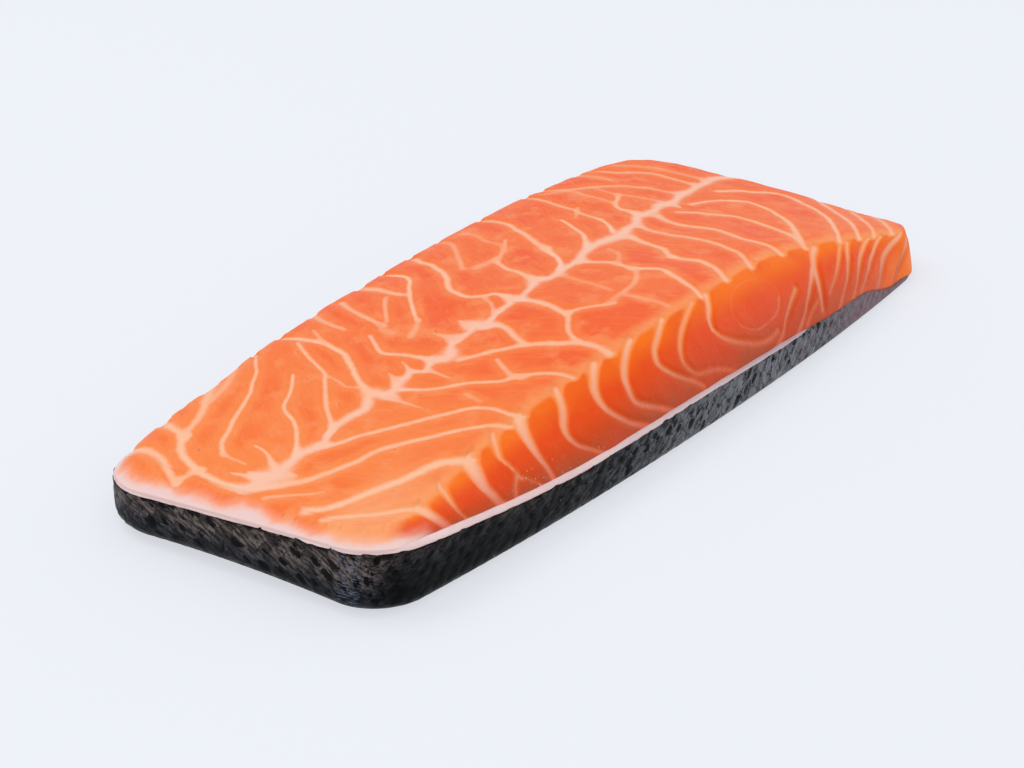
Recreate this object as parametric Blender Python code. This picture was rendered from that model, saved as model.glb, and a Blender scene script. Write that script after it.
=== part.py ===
"""A raw salmon fillet that lies on its skin: dark skin, a pale fat layer and the orange flesh.

The skin is a shallow tray that wraps up round the tail end and both long sides. The fat layer lies
in it, and the flesh lies in the fat layer. The head end is a plain cut through all three.
X runs from the tail to the head, Y from the thick front side to the back, Z up.
The origin is on the underside, below the middle of the fillet.
"""
import math

import bmesh
import bpy
from mathutils import Vector, noise

# Driving dimensions, in metres
LENGTH = 0.2426
TAIL_WIDTH = 0.0864
HEAD_WIDTH = 0.0954
SIDE_BULGE = 0.0070
TAIL_SLANT = 0.0026
HEAD_SLANT = 0.0064
HEAD_BOW = 0.0037
MIDDLE_X = -0.0024
CORNER_TAIL_FRONT = 0.0132
CORNER_TAIL_BACK = 0.0200
CORNER_HEAD_FRONT = 0.0138
CORNER_HEAD_BACK = 0.0200

# Heights and setbacks at five even stations from the tail to the head, in metres
FRONT_TOP = (0.0180, 0.0212, 0.0290, 0.0248, 0.0135)
BACK_TOP = (0.0168, 0.0202, 0.0214, 0.0222, 0.0198)
FRONT_SETBACK = (0.0055, 0.0185, 0.0150, 0.0158, 0.0)
SKIN_RIM = (0.0168, 0.0118, 0.0115, 0.0090, 0.0052)
BACK_SETBACK = 0.0052
TAIL_SETBACK = 0.0095
HEAD_SETBACK = 0.0046
HEAD_CORNER_REACH = 0.0020
HEAD_CORNER_FROM = 0.55
OVERHANG = (0.0, 0.0, 0.0, 0.0010, 0.0)
OVERHANG_RISE = 0.4
BACK_RIM_DROP = 0.0050
BACK_RIM_DROP_POWER = 1.3
BACK_RIM_DROP_ENDS = (0.3, 0.9)
RIM_AT_HEAD = 0.0024
RIM_FALL = (0.65, 0.84)
FLESH_SPREAD = 0.0016
FLESH_SPREAD_ENDS = (0.84, 0.92)
CROWN = 0.0006
FALL_TO_BACK = 1.5

# Layers, in metres: the thickness of a side near the tail and near the head, and of the floor.
# The first value holds from the tail to TAPER_FROM, which is a place from -1 at the tail to 1.
# FAT_RISE is how far the fat's rim stands above the skin's, at the five even stations
TAPER_FROM = -0.2
SKIN_SIDE = (0.0010, 0.0008)
FAT_SIDE = (0.0014, 0.0006)
SKIN_FLOOR = 0.0010
FAT_FLOOR = 0.0014
FAT_AT_TAIL_END = 0.0030
FAT_RISE = (0.0012, 0.0011, 0.0009, 0.0002, 0.0)
LAYER_GAP = 0.0003
LAYER_STEP_AT_HEAD = 0.0004
FOOT_DEPTH = 0.0004
FOOT_LEAST = 0.0003

# The underside: the rounded lower edge, and the arch under the tail end
LOWER_EDGE = (0.0040, 0.0012)
INNER_EDGE = 0.0006
TAIL_ARCH = 0.0020
ARCH_REACH = 0.0300
FLAT_MARGIN = 0.0060

# Flakes of the flesh: how far apart they lie, how far they stand out, the line they spring from, and
# how far towards the head they lean for each metre to the front or back, at the same five stations
FLAKE_PITCH = 0.0130
FLAKE_LEAN_FRONT = (2.0, 1.3, 0.4, 0.1, 0.5)
FLAKE_LEAN_BACK = (1.1, 1.0, 0.7, 0.5, 0.3)
FLAKE_LEAN_DOWN = 0.40
FLAKE_MIDLINE = (0.001, 0.001, 0.002, 0.008, 0.015)
FLAKE_WANDER = 0.22
FLAKE_WANDER_SIZE = 0.025
FLAKE_ON_TOP = 0.0005
FLAKE_ON_SIDE = 0.0014
FLAKE_EDGE = 0.35
UNEVEN_DEPTH = 0.0005
UNEVEN_SIZE = 0.022
TOP_EDGE_DROP = 0.0008
TOP_EDGE_FROM = 0.9
SHOULDER = 0.55
END_BULGE_POWER = 5
SIDE_BULGE_POWER = 3

# Mesh density: cells along and across
FLESH_CELLS = (88, 24)
LAYER_CELLS = (40, 16)
EDGE_STEPS = 3
SHOULDER_STEPS = 5
CORNER_CROWDING = 0.45
CUTTER_HEIGHT = 0.060
CUTTER_REACH = 0.006
CUTTER_GROWS_FROM = 0.8
LID_INSET = 0.012
SHARP_ANGLE = 50.0

# Colour, roughness and metallic value of each layer
FLESH_FINISH = ((0.90, 0.26, 0.10), 0.38, 0.0)
FAT_FINISH = ((0.86, 0.68, 0.62), 0.42, 0.0)
SKIN_FINISH = ((0.055, 0.058, 0.066), 0.36, 0.0)


def smooth(t):
    """An eased ramp from 0 to 1."""
    t = min(1.0, max(0.0, t))
    return t * t * (3.0 - 2.0 * t)


def along(p, values):
    """A smooth curve through evenly spaced values, with p from -1 at the tail to 1 at the head."""
    last = len(values) - 1
    place = (min(1.0, max(-1.0, p)) + 1.0) / 2.0 * last
    i = min(int(place), last - 1)
    t = place - i
    before = values[max(i - 1, 0)]
    a, b = values[i], values[i + 1]
    after = values[min(i + 2, last)]
    slope_a = (b - before) / (2.0 if i > 0 else 1.0)
    slope_b = (after - a) / (2.0 if i + 2 <= last else 1.0)
    ease = t * t * (3.0 - 2.0 * t)
    return a + (b - a) * ease + slope_a * t * (1.0 - t) ** 2 - slope_b * t * t * (1.0 - t)


def corner_radius(u, v):
    """The plan radius of the corner that the point (u, v) of the unit square lies nearest."""
    if u < 0.0:
        return CORNER_TAIL_FRONT if v < 0.0 else CORNER_TAIL_BACK
    return CORNER_HEAD_FRONT if v < 0.0 else CORNER_HEAD_BACK


def rounded(u, v):
    """Moves (u, v) of the unit square so that the square's edge becomes the round-cornered plan."""
    half_length = LENGTH / 2.0
    half_width = (TAIL_WIDTH + HEAD_WIDTH) / 4.0 + SIDE_BULGE / 2.0
    radius = corner_radius(u, v)
    over_x = abs(u) * half_length - (half_length - radius)
    over_y = abs(v) * half_width - (half_width - radius)
    if over_x <= 0.0 or over_y <= 0.0:
        return u, v
    scale = max(over_x, over_y) / math.hypot(over_x, over_y)
    p = (half_length - radius + over_x * scale) / half_length
    q = (half_width - radius + over_y * scale) / half_width
    return math.copysign(p, u), math.copysign(q, v)


def plan(p, q, front=0.0, back=0.0, tail=0.0, head=0.0):
    """The plan point of (p, q), with each side drawn in by its own inset."""
    half_width = (TAIL_WIDTH + HEAD_WIDTH) / 4.0 + (HEAD_WIDTH - TAIL_WIDTH) / 4.0 * p
    half_width += SIDE_BULGE * (1.0 - p * p)
    slant = TAIL_SLANT + (HEAD_SLANT - TAIL_SLANT) * (1.0 + p) / 2.0
    x = MIDDLE_X + LENGTH / 2.0 * p - slant * q
    x += HEAD_BOW * (1.0 + p) / 2.0 * (1.0 - q * q)
    x += tail * max(0.0, -p) - head * max(0.0, p)
    y = half_width * q + front * max(0.0, -q) - back * max(0.0, q)
    return x, y


def taper(p, tail_to_head):
    """A value that goes from its tail size to its head size."""
    first, last = tail_to_head
    return first + (last - first) * smooth((p - TAPER_FROM) / (1.0 - TAPER_FROM))


def skin_rim(p, q):
    """The height of the skin's rim; it is lower at the back."""
    start, end = BACK_RIM_DROP_ENDS
    rim = along(p, SKIN_RIM)
    drop = BACK_RIM_DROP * max(0.0, (q + 1.0) / 2.0) ** BACK_RIM_DROP_POWER
    rim -= drop * (1.0 - smooth((p - start) / (end - start)))
    start, end = RIM_FALL
    return rim + (RIM_AT_HEAD - rim) * smooth((p - start) / (end - start))


def fat_rim(p, q):
    """The height of the fat layer's rim, a little above the skin's."""
    return skin_rim(p, q) + along(p, FAT_RISE)


def depth(skin, fat, level):
    """How far in from the outside a level lies: 0 and 1 bound the skin, 2 and 3 the fat, 4 the flesh."""
    outside_fat = skin + LAYER_GAP
    return (0.0, skin, outside_fat, outside_fat + fat, outside_fat + fat + LAYER_GAP)[level]


def side_depth(p, level):
    """A level's depth at the sides."""
    return depth(taper(p, SKIN_SIDE), taper(p, FAT_SIDE), level)


def floor_depth(level):
    """A level's height above the underside."""
    return depth(SKIN_FLOOR, FAT_FLOOR, level)


def layer_insets(p, level, extra=0.0):
    """The insets of a level from the plan's outline at the four sides."""
    side = side_depth(p, level) + extra
    if level == 4:
        start, end = FLESH_SPREAD_ENDS
        side -= FLESH_SPREAD * smooth((p - start) / (end - start))
    thick = FAT_AT_TAIL_END - FAT_SIDE[0] if level >= 3 else 0.0
    step = LAYER_STEP_AT_HEAD * (2, 2, 1, 1, 0)[level]
    return {"front": side, "back": side, "tail": side + thick, "head": step + extra}


def arch(p, q):
    """How far the underside is lifted under the tail end."""
    return TAIL_ARCH * (1.0 - q * q) * smooth((-p - 1.0) * LENGTH / 2.0 / ARCH_REACH + 1.0)


def underside(p, q, level, step):
    """A point of a level's rounded lower edge: step 0 is on the underside, EDGE_STEPS on the wall."""
    edge = taper(p, LOWER_EDGE)
    reach = max(edge - side_depth(p, level), INNER_EDGE)
    rise = max(edge - floor_depth(level), INNER_EDGE)
    turn = math.pi / 2.0 * step / EDGE_STEPS
    insets = layer_insets(p, level, reach * (1.0 - math.sin(turn)))
    x, y = plan(p, q, **insets)
    return x, y, floor_depth(level) + arch(p, q) + rise * (1.0 - math.cos(turn))


def flat_underside(p, q, level):
    """A point of the ring inside which a level's underside is flat."""
    extra = taper(p, LOWER_EDGE) + FLAT_MARGIN
    insets = layer_insets(p, level, extra)
    insets["tail"] = max(insets["tail"], ARCH_REACH)
    x, y = plan(p, q, **insets)
    return x, y, floor_depth(level)


def flake(p, x, y):
    """0 on the line between two flakes, rising to 1 on a flake."""
    off = y - along(p, FLAKE_MIDLINE)
    lean = along(p, FLAKE_LEAN_FRONT if off < 0.0 else FLAKE_LEAN_BACK) * abs(off)
    wander = noise.noise(Vector((x, y, 0.0)) / FLAKE_WANDER_SIZE) * FLAKE_WANDER
    place = (x - lean) / FLAKE_PITCH + wander
    off_line = abs(place - round(place)) * 2.0
    return math.sqrt(min(1.0, off_line / FLAKE_EDGE))


def uneven(x, y, z):
    """The flesh's soft unevenness."""
    return noise.noise(Vector((x, y, z)) / UNEVEN_SIZE) * UNEVEN_DEPTH


def ridge_insets(p, q):
    """The insets of the ridge where the flesh's top meets its cut sides."""
    corner = smooth((-q - HEAD_CORNER_FROM) / (1.0 - HEAD_CORNER_FROM))
    return {
        "front": along(p, FRONT_SETBACK),
        "back": BACK_SETBACK,
        "tail": TAIL_SETBACK,
        "head": HEAD_SETBACK - HEAD_CORNER_REACH * corner,
    }


def top_height(p, q):
    """The height of the flesh's top, from the front side to the lower back side."""
    front, back = along(p, FRONT_TOP), along(p, BACK_TOP)
    across = min(1.0, max(0.0, (q + 1.0) / 2.0))
    return front + (back - front) * across ** FALL_TO_BACK + CROWN * (1.0 - q * q) * (1.0 - p * p)


def flesh_top(p, q):
    """A point of the flesh's top, which drops a little towards its edge."""
    x, y = plan(p, q, **ridge_insets(p, q))
    drop = TOP_EDGE_DROP * smooth((max(abs(p), abs(q)) - TOP_EDGE_FROM) / (1.0 - TOP_EDGE_FROM))
    return x, y, top_height(p, q) + FLAKE_ON_TOP * (flake(p, x, y) - 1.0) + uneven(x, y, 0.0) - drop


def flesh_side(p, q, s):
    """A point of the flesh's cut side: s is 0 at the fat layer's rim and 1 at the ridge.

    Near the head the side swells out over the rims of the fat and the skin.
    """
    foot_x, foot_y, wall_z = underside(p, q, 4, EDGE_STEPS)
    foot_z = max(fat_rim(p, q) - FOOT_DEPTH, wall_z + FOOT_LEAST)
    ridge_x, ridge_y, ridge_z = flesh_top(p, q)
    turn = s * math.pi / 2.0
    out = s + (1.0 - math.cos(turn) - s) * SHOULDER
    up = s + (math.sin(turn) - s) * SHOULDER
    x = foot_x + (ridge_x - foot_x) * out
    y = foot_y + (ridge_y - foot_y) * out
    z = foot_z + (ridge_z - foot_z) * up
    y += along(p, OVERHANG) * smooth(s / OVERHANG_RISE) * (1.0 - s) * q ** SIDE_BULGE_POWER
    block = flake(p, x + FLAKE_LEAN_DOWN * (ridge_z - z), ridge_y)
    bulge = FLAKE_ON_SIDE * (block - 0.5) * math.sin(math.pi * s)
    return x + bulge * p ** END_BULGE_POWER, y + bulge * q ** SIDE_BULGE_POWER, z


def spread(cells):
    """Stations from -1 to 1, closer together towards both ends."""
    stations = []
    for i in range(cells + 1):
        t = 2.0 * i / cells - 1.0
        stations.append(t + (math.sin(math.pi / 2.0 * t) - t) * CORNER_CROWDING)
    return stations


def outline(cells):
    """The unit square's edge, counter-clockwise from its tail and front corner."""
    us, vs = spread(cells[0]), spread(cells[1])
    front = [(u, -1.0) for u in us[:-1]]
    head = [(1.0, v) for v in vs[:-1]]
    back = [(u, 1.0) for u in reversed(us[1:])]
    tail = [(-1.0, v) for v in reversed(vs[1:])]
    return [rounded(u, v) for u, v in front + head + back + tail]


def finish(name, colour, roughness, metallic):
    """A plain material."""
    material = bpy.data.materials.new(name)
    material.use_nodes = True
    shader = material.node_tree.nodes["Principled BSDF"]
    shader.inputs["Base Color"].default_value = (*colour, 1.0)
    shader.inputs["Roughness"].default_value = roughness
    shader.inputs["Metallic"].default_value = metallic
    return material


def add_object(name, mesh, collection, material=None):
    """Puts the bmesh in a new object of the collection."""
    data = bpy.data.meshes.new(name)
    mesh.to_mesh(data)
    mesh.free()
    if material:
        data.materials.append(material)
    data.shade_smooth()
    data.set_sharp_from_angle(angle=math.radians(SHARP_ANGLE))
    piece = bpy.data.objects.new(name, data)
    collection.objects.link(piece)
    return piece


def bridge(mesh, lower, upper):
    """Joins two rings of the same count with quads."""
    for i in range(len(lower)):
        j = (i + 1) % len(lower)
        mesh.faces.new((lower[i], lower[j], upper[j], upper[i]))


def loft(rings):
    """A closed body through rings of points, with a flat cap on the first and the last."""
    mesh = bmesh.new()
    loops = [[mesh.verts.new(point) for point in ring] for ring in rings]
    for lower, upper in zip(loops, loops[1:]):
        bridge(mesh, lower, upper)
    mesh.faces.new(list(reversed(loops[0])))
    mesh.faces.new(loops[-1])
    return mesh


def tray_body(level, rim):
    """The full body of a layer up to its rim, before its inside is cut out."""
    edge = outline(LAYER_CELLS)
    rings = [[flat_underside(p, q, level) for p, q in edge]]
    for step in range(EDGE_STEPS + 1):
        rings.append([underside(p, q, level, step) for p, q in edge])
    wall = [underside(p, q, level, EDGE_STEPS) for p, q in edge]
    rings.append([(x, y, rim(p, q)) for (p, q), (x, y, _) in zip(edge, wall)])
    inner = [plan(p, q, **layer_insets(p, level, LID_INSET)) for p, q in edge]
    rings.append([(x, y, rim(p, q)) for (p, q), (x, y) in zip(edge, inner)])
    return loft(rings)


def tray_cutter(level):
    """What is cut out of a layer: its inside, running out past the head end."""
    edge = outline(LAYER_CELLS)
    rings = [[flat_underside(p, q, level) for p, q in edge]]
    for step in range(EDGE_STEPS + 1):
        rings.append([underside(p, q, level, step) for p, q in edge])
    rings.append([(x, y, CUTTER_HEIGHT) for x, y, _ in rings[-1]])
    for ring in rings:
        for i, (p, _) in enumerate(edge):
            x, y, z = ring[i]
            ring[i] = (x + CUTTER_REACH * smooth((p - CUTTER_GROWS_FROM) / (1.0 - CUTTER_GROWS_FROM)), y, z)
    return loft(rings)


def tray(name, level, rim, material, collection, cutters):
    """A layer as a tray that is open at the top and at the head end."""
    piece = add_object(name, tray_body(level, rim), collection, material)
    cutter = add_object(name + "_inside", tray_cutter(level + 1), cutters)
    cutter.hide_render = True
    cutter.display_type = "WIRE"
    cut = piece.modifiers.new("Inside", "BOOLEAN")
    cut.operation = "DIFFERENCE"
    cut.solver = "EXACT"
    cut.object = cutter
    return piece


def flesh(material, collection):
    """The flesh: a relief top, cut sides, and the part that lies in the fat layer."""
    across, length = FLESH_CELLS[1], FLESH_CELLS[0]
    mesh = bmesh.new()
    bmesh.ops.create_grid(mesh, x_segments=length, y_segments=across, size=1.0)
    us, vs = spread(length), spread(across)
    boundary = {}
    for vert in mesh.verts:
        i = round((vert.co.x + 1.0) / 2.0 * length)
        j = round((vert.co.y + 1.0) / 2.0 * across)
        if i in (0, length) or j in (0, across):
            boundary[(i, j)] = vert
        vert.co = flesh_top(*rounded(us[i], vs[j]))
    keys = [(i, 0) for i in range(length)] + [(length, j) for j in range(across)]
    keys += [(i, across) for i in range(length, 0, -1)] + [(0, j) for j in range(across, 0, -1)]
    above = [boundary[key] for key in keys]
    edge = outline(FLESH_CELLS)
    rings = []
    for k in range(SHOULDER_STEPS - 1, -1, -1):
        rings.append([flesh_side(p, q, k / SHOULDER_STEPS) for p, q in edge])
    for step in range(EDGE_STEPS, -1, -1):
        rings.append([underside(p, q, 4, step) for p, q in edge])
    rings.append([flat_underside(p, q, 4) for p, q in edge])
    for ring in rings:
        below = [mesh.verts.new(point) for point in ring]
        bridge(mesh, below, above)
        above = below
    mesh.faces.new(list(reversed(above)))
    return add_object("flesh", mesh, collection, material)


def main():
    for piece in list(bpy.data.objects):
        bpy.data.objects.remove(piece, do_unlink=True)
    collection = bpy.data.collections.new("Salmon_Fillet")
    cutters = bpy.data.collections.new("Cutters")
    bpy.context.scene.collection.children.link(collection)
    bpy.context.scene.collection.children.link(cutters)
    flesh(finish("salmon_flesh", *FLESH_FINISH), collection)
    tray("fat_layer", 2, fat_rim, finish("pale_fat", *FAT_FINISH), collection, cutters)
    tray("skin", 0, skin_rim, finish("dark_skin", *SKIN_FINISH), collection, cutters)


main()
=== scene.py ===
"""The looks of a raw salmon fillet that lies on its skin.

The flesh, the fat layer and the skin are rebuilt as fine meshes on the shapes of the solids.
The pale lines of the flesh are listed curves. Each mesh point keeps how deep it lies in a
line, and both the relief and the materials read that value.
Sizes are in metres, and the lines of the flesh in millimetres.
"""
import math

import bmesh
import bpy
import numpy as np
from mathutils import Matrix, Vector, noise


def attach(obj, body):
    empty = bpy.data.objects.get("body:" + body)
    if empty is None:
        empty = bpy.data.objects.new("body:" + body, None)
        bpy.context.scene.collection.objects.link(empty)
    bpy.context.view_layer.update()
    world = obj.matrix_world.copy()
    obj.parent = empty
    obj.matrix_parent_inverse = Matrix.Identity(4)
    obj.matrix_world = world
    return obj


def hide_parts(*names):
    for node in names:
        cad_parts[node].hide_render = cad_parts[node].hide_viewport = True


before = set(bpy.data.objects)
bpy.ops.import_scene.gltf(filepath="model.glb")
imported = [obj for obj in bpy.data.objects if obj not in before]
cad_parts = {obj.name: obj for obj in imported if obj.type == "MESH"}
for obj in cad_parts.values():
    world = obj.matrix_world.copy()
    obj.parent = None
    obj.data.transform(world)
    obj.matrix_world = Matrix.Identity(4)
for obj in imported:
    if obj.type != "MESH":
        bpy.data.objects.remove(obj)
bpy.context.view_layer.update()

MM = 0.001

# The shape of the fillet, as the solids have it
LENGTH = 0.2426
TAIL_WIDTH = 0.0864
HEAD_WIDTH = 0.0954
SIDE_BULGE = 0.0070
TAIL_SLANT = 0.0026
HEAD_SLANT = 0.0064
HEAD_BOW = 0.0037
MIDDLE_X = -0.0024
CORNERS = {(-1, -1): 0.0132, (-1, 1): 0.0200, (1, -1): 0.0138, (1, 1): 0.0200}
FRONT_TOP = (0.0180, 0.0212, 0.0290, 0.0248, 0.0135)
BACK_TOP = (0.0168, 0.0202, 0.0214, 0.0222, 0.0198)
FRONT_SETBACK = (0.0055, 0.0185, 0.0150, 0.0158, 0.0)
SKIN_RIM = (0.0168, 0.0118, 0.0115, 0.0090, 0.0052)
BACK_SETBACK = 0.0052
TAIL_SETBACK = 0.0095
HEAD_SETBACK = 0.0046
HEAD_CORNER_REACH = 0.0020
HEAD_CORNER_FROM = 0.55
OVERHANG = (0.0, 0.0, 0.0, 0.0010, 0.0)
OVERHANG_RISE = 0.4
SIDE_BULGE_POWER = 3
BACK_RIM_DROP = 0.0050
BACK_RIM_DROP_POWER = 1.3
BACK_RIM_DROP_ENDS = (0.3, 0.9)
RIM_AT_HEAD = 0.0024
RIM_FALL = (0.65, 0.84)
FLESH_SPREAD = 0.0016
FLESH_SPREAD_ENDS = (0.84, 0.92)
CROWN = 0.0006
FALL_TO_BACK = 1.5
TOP_EDGE_DROP = 0.0010
TOP_EDGE_FROM = 0.86
SHOULDER = 0.55
TAPER_FROM = -0.2
SKIN_SIDE = (0.0010, 0.0008)
FAT_SIDE = (0.0014, 0.0006)
SKIN_FLOOR = 0.0010
FAT_FLOOR = 0.0014
LAYER_GAP = 0.0003
FAT_AT_TAIL_END = 0.0030
FAT_RISE = (0.0012, 0.0011, 0.0009, 0.0002, 0.0)
STEP_AT_HEAD = 0.0004
LOWER_EDGE = (0.0040, 0.0012)
INNER_EDGE = 0.0006
TAIL_ARCH = 0.0020
ARCH_REACH = 0.0300
FLAT_MARGIN = 0.0060

# How the visible layers meet: the fat's rim laps over the skin's, and the flesh over the fat. The flesh covers
# the fat's rim round the tail end, and both rims near the head. The pairs are places along the fillet, from
# -1 at the tail to 1, between which that changes
FAT_LOWER = 0.0003
LIP_INSET = 0.0002
LIP_DEPTH = 0.0002
LIP_LEAST = 0.0008
FOOT_INSET = 0.0014
FOOT_DEPTH = 0.0004
TAIL_FOOT_INSET = 0.0003
TAIL_SINK = 0.0005
FOOT_LEAST = 0.0003
FOOT_SPREAD = -0.0012
COVER = (0.30, 0.50)
COVER_INSET = 0.0005
COVER_DEPTH = 0.0003
HANG = (0.84, 0.93)
HANG_INSET = -0.0002
HANG_FOOT = 0.0014
TUCK = 0.0016
TAIL_EASE = (-0.90, -0.98)

# Mesh density: cells along and across, and rows up a side
FLESH_CELLS = (400, 136)
FLESH_ROWS = 30
FLESH_TURNS = (1.0, 0.66, 0.33, 0.0)
LAYER_CELLS = (330, 120)
SKIN_ROWS = 30
ROUND_ROWS = 7
INNER_ROWS = (0.35, 0.7, 1.0)
LEAST_WALL = 0.0001
LEAST_STEP = 0.00002
CROWDING = 0.15

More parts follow.
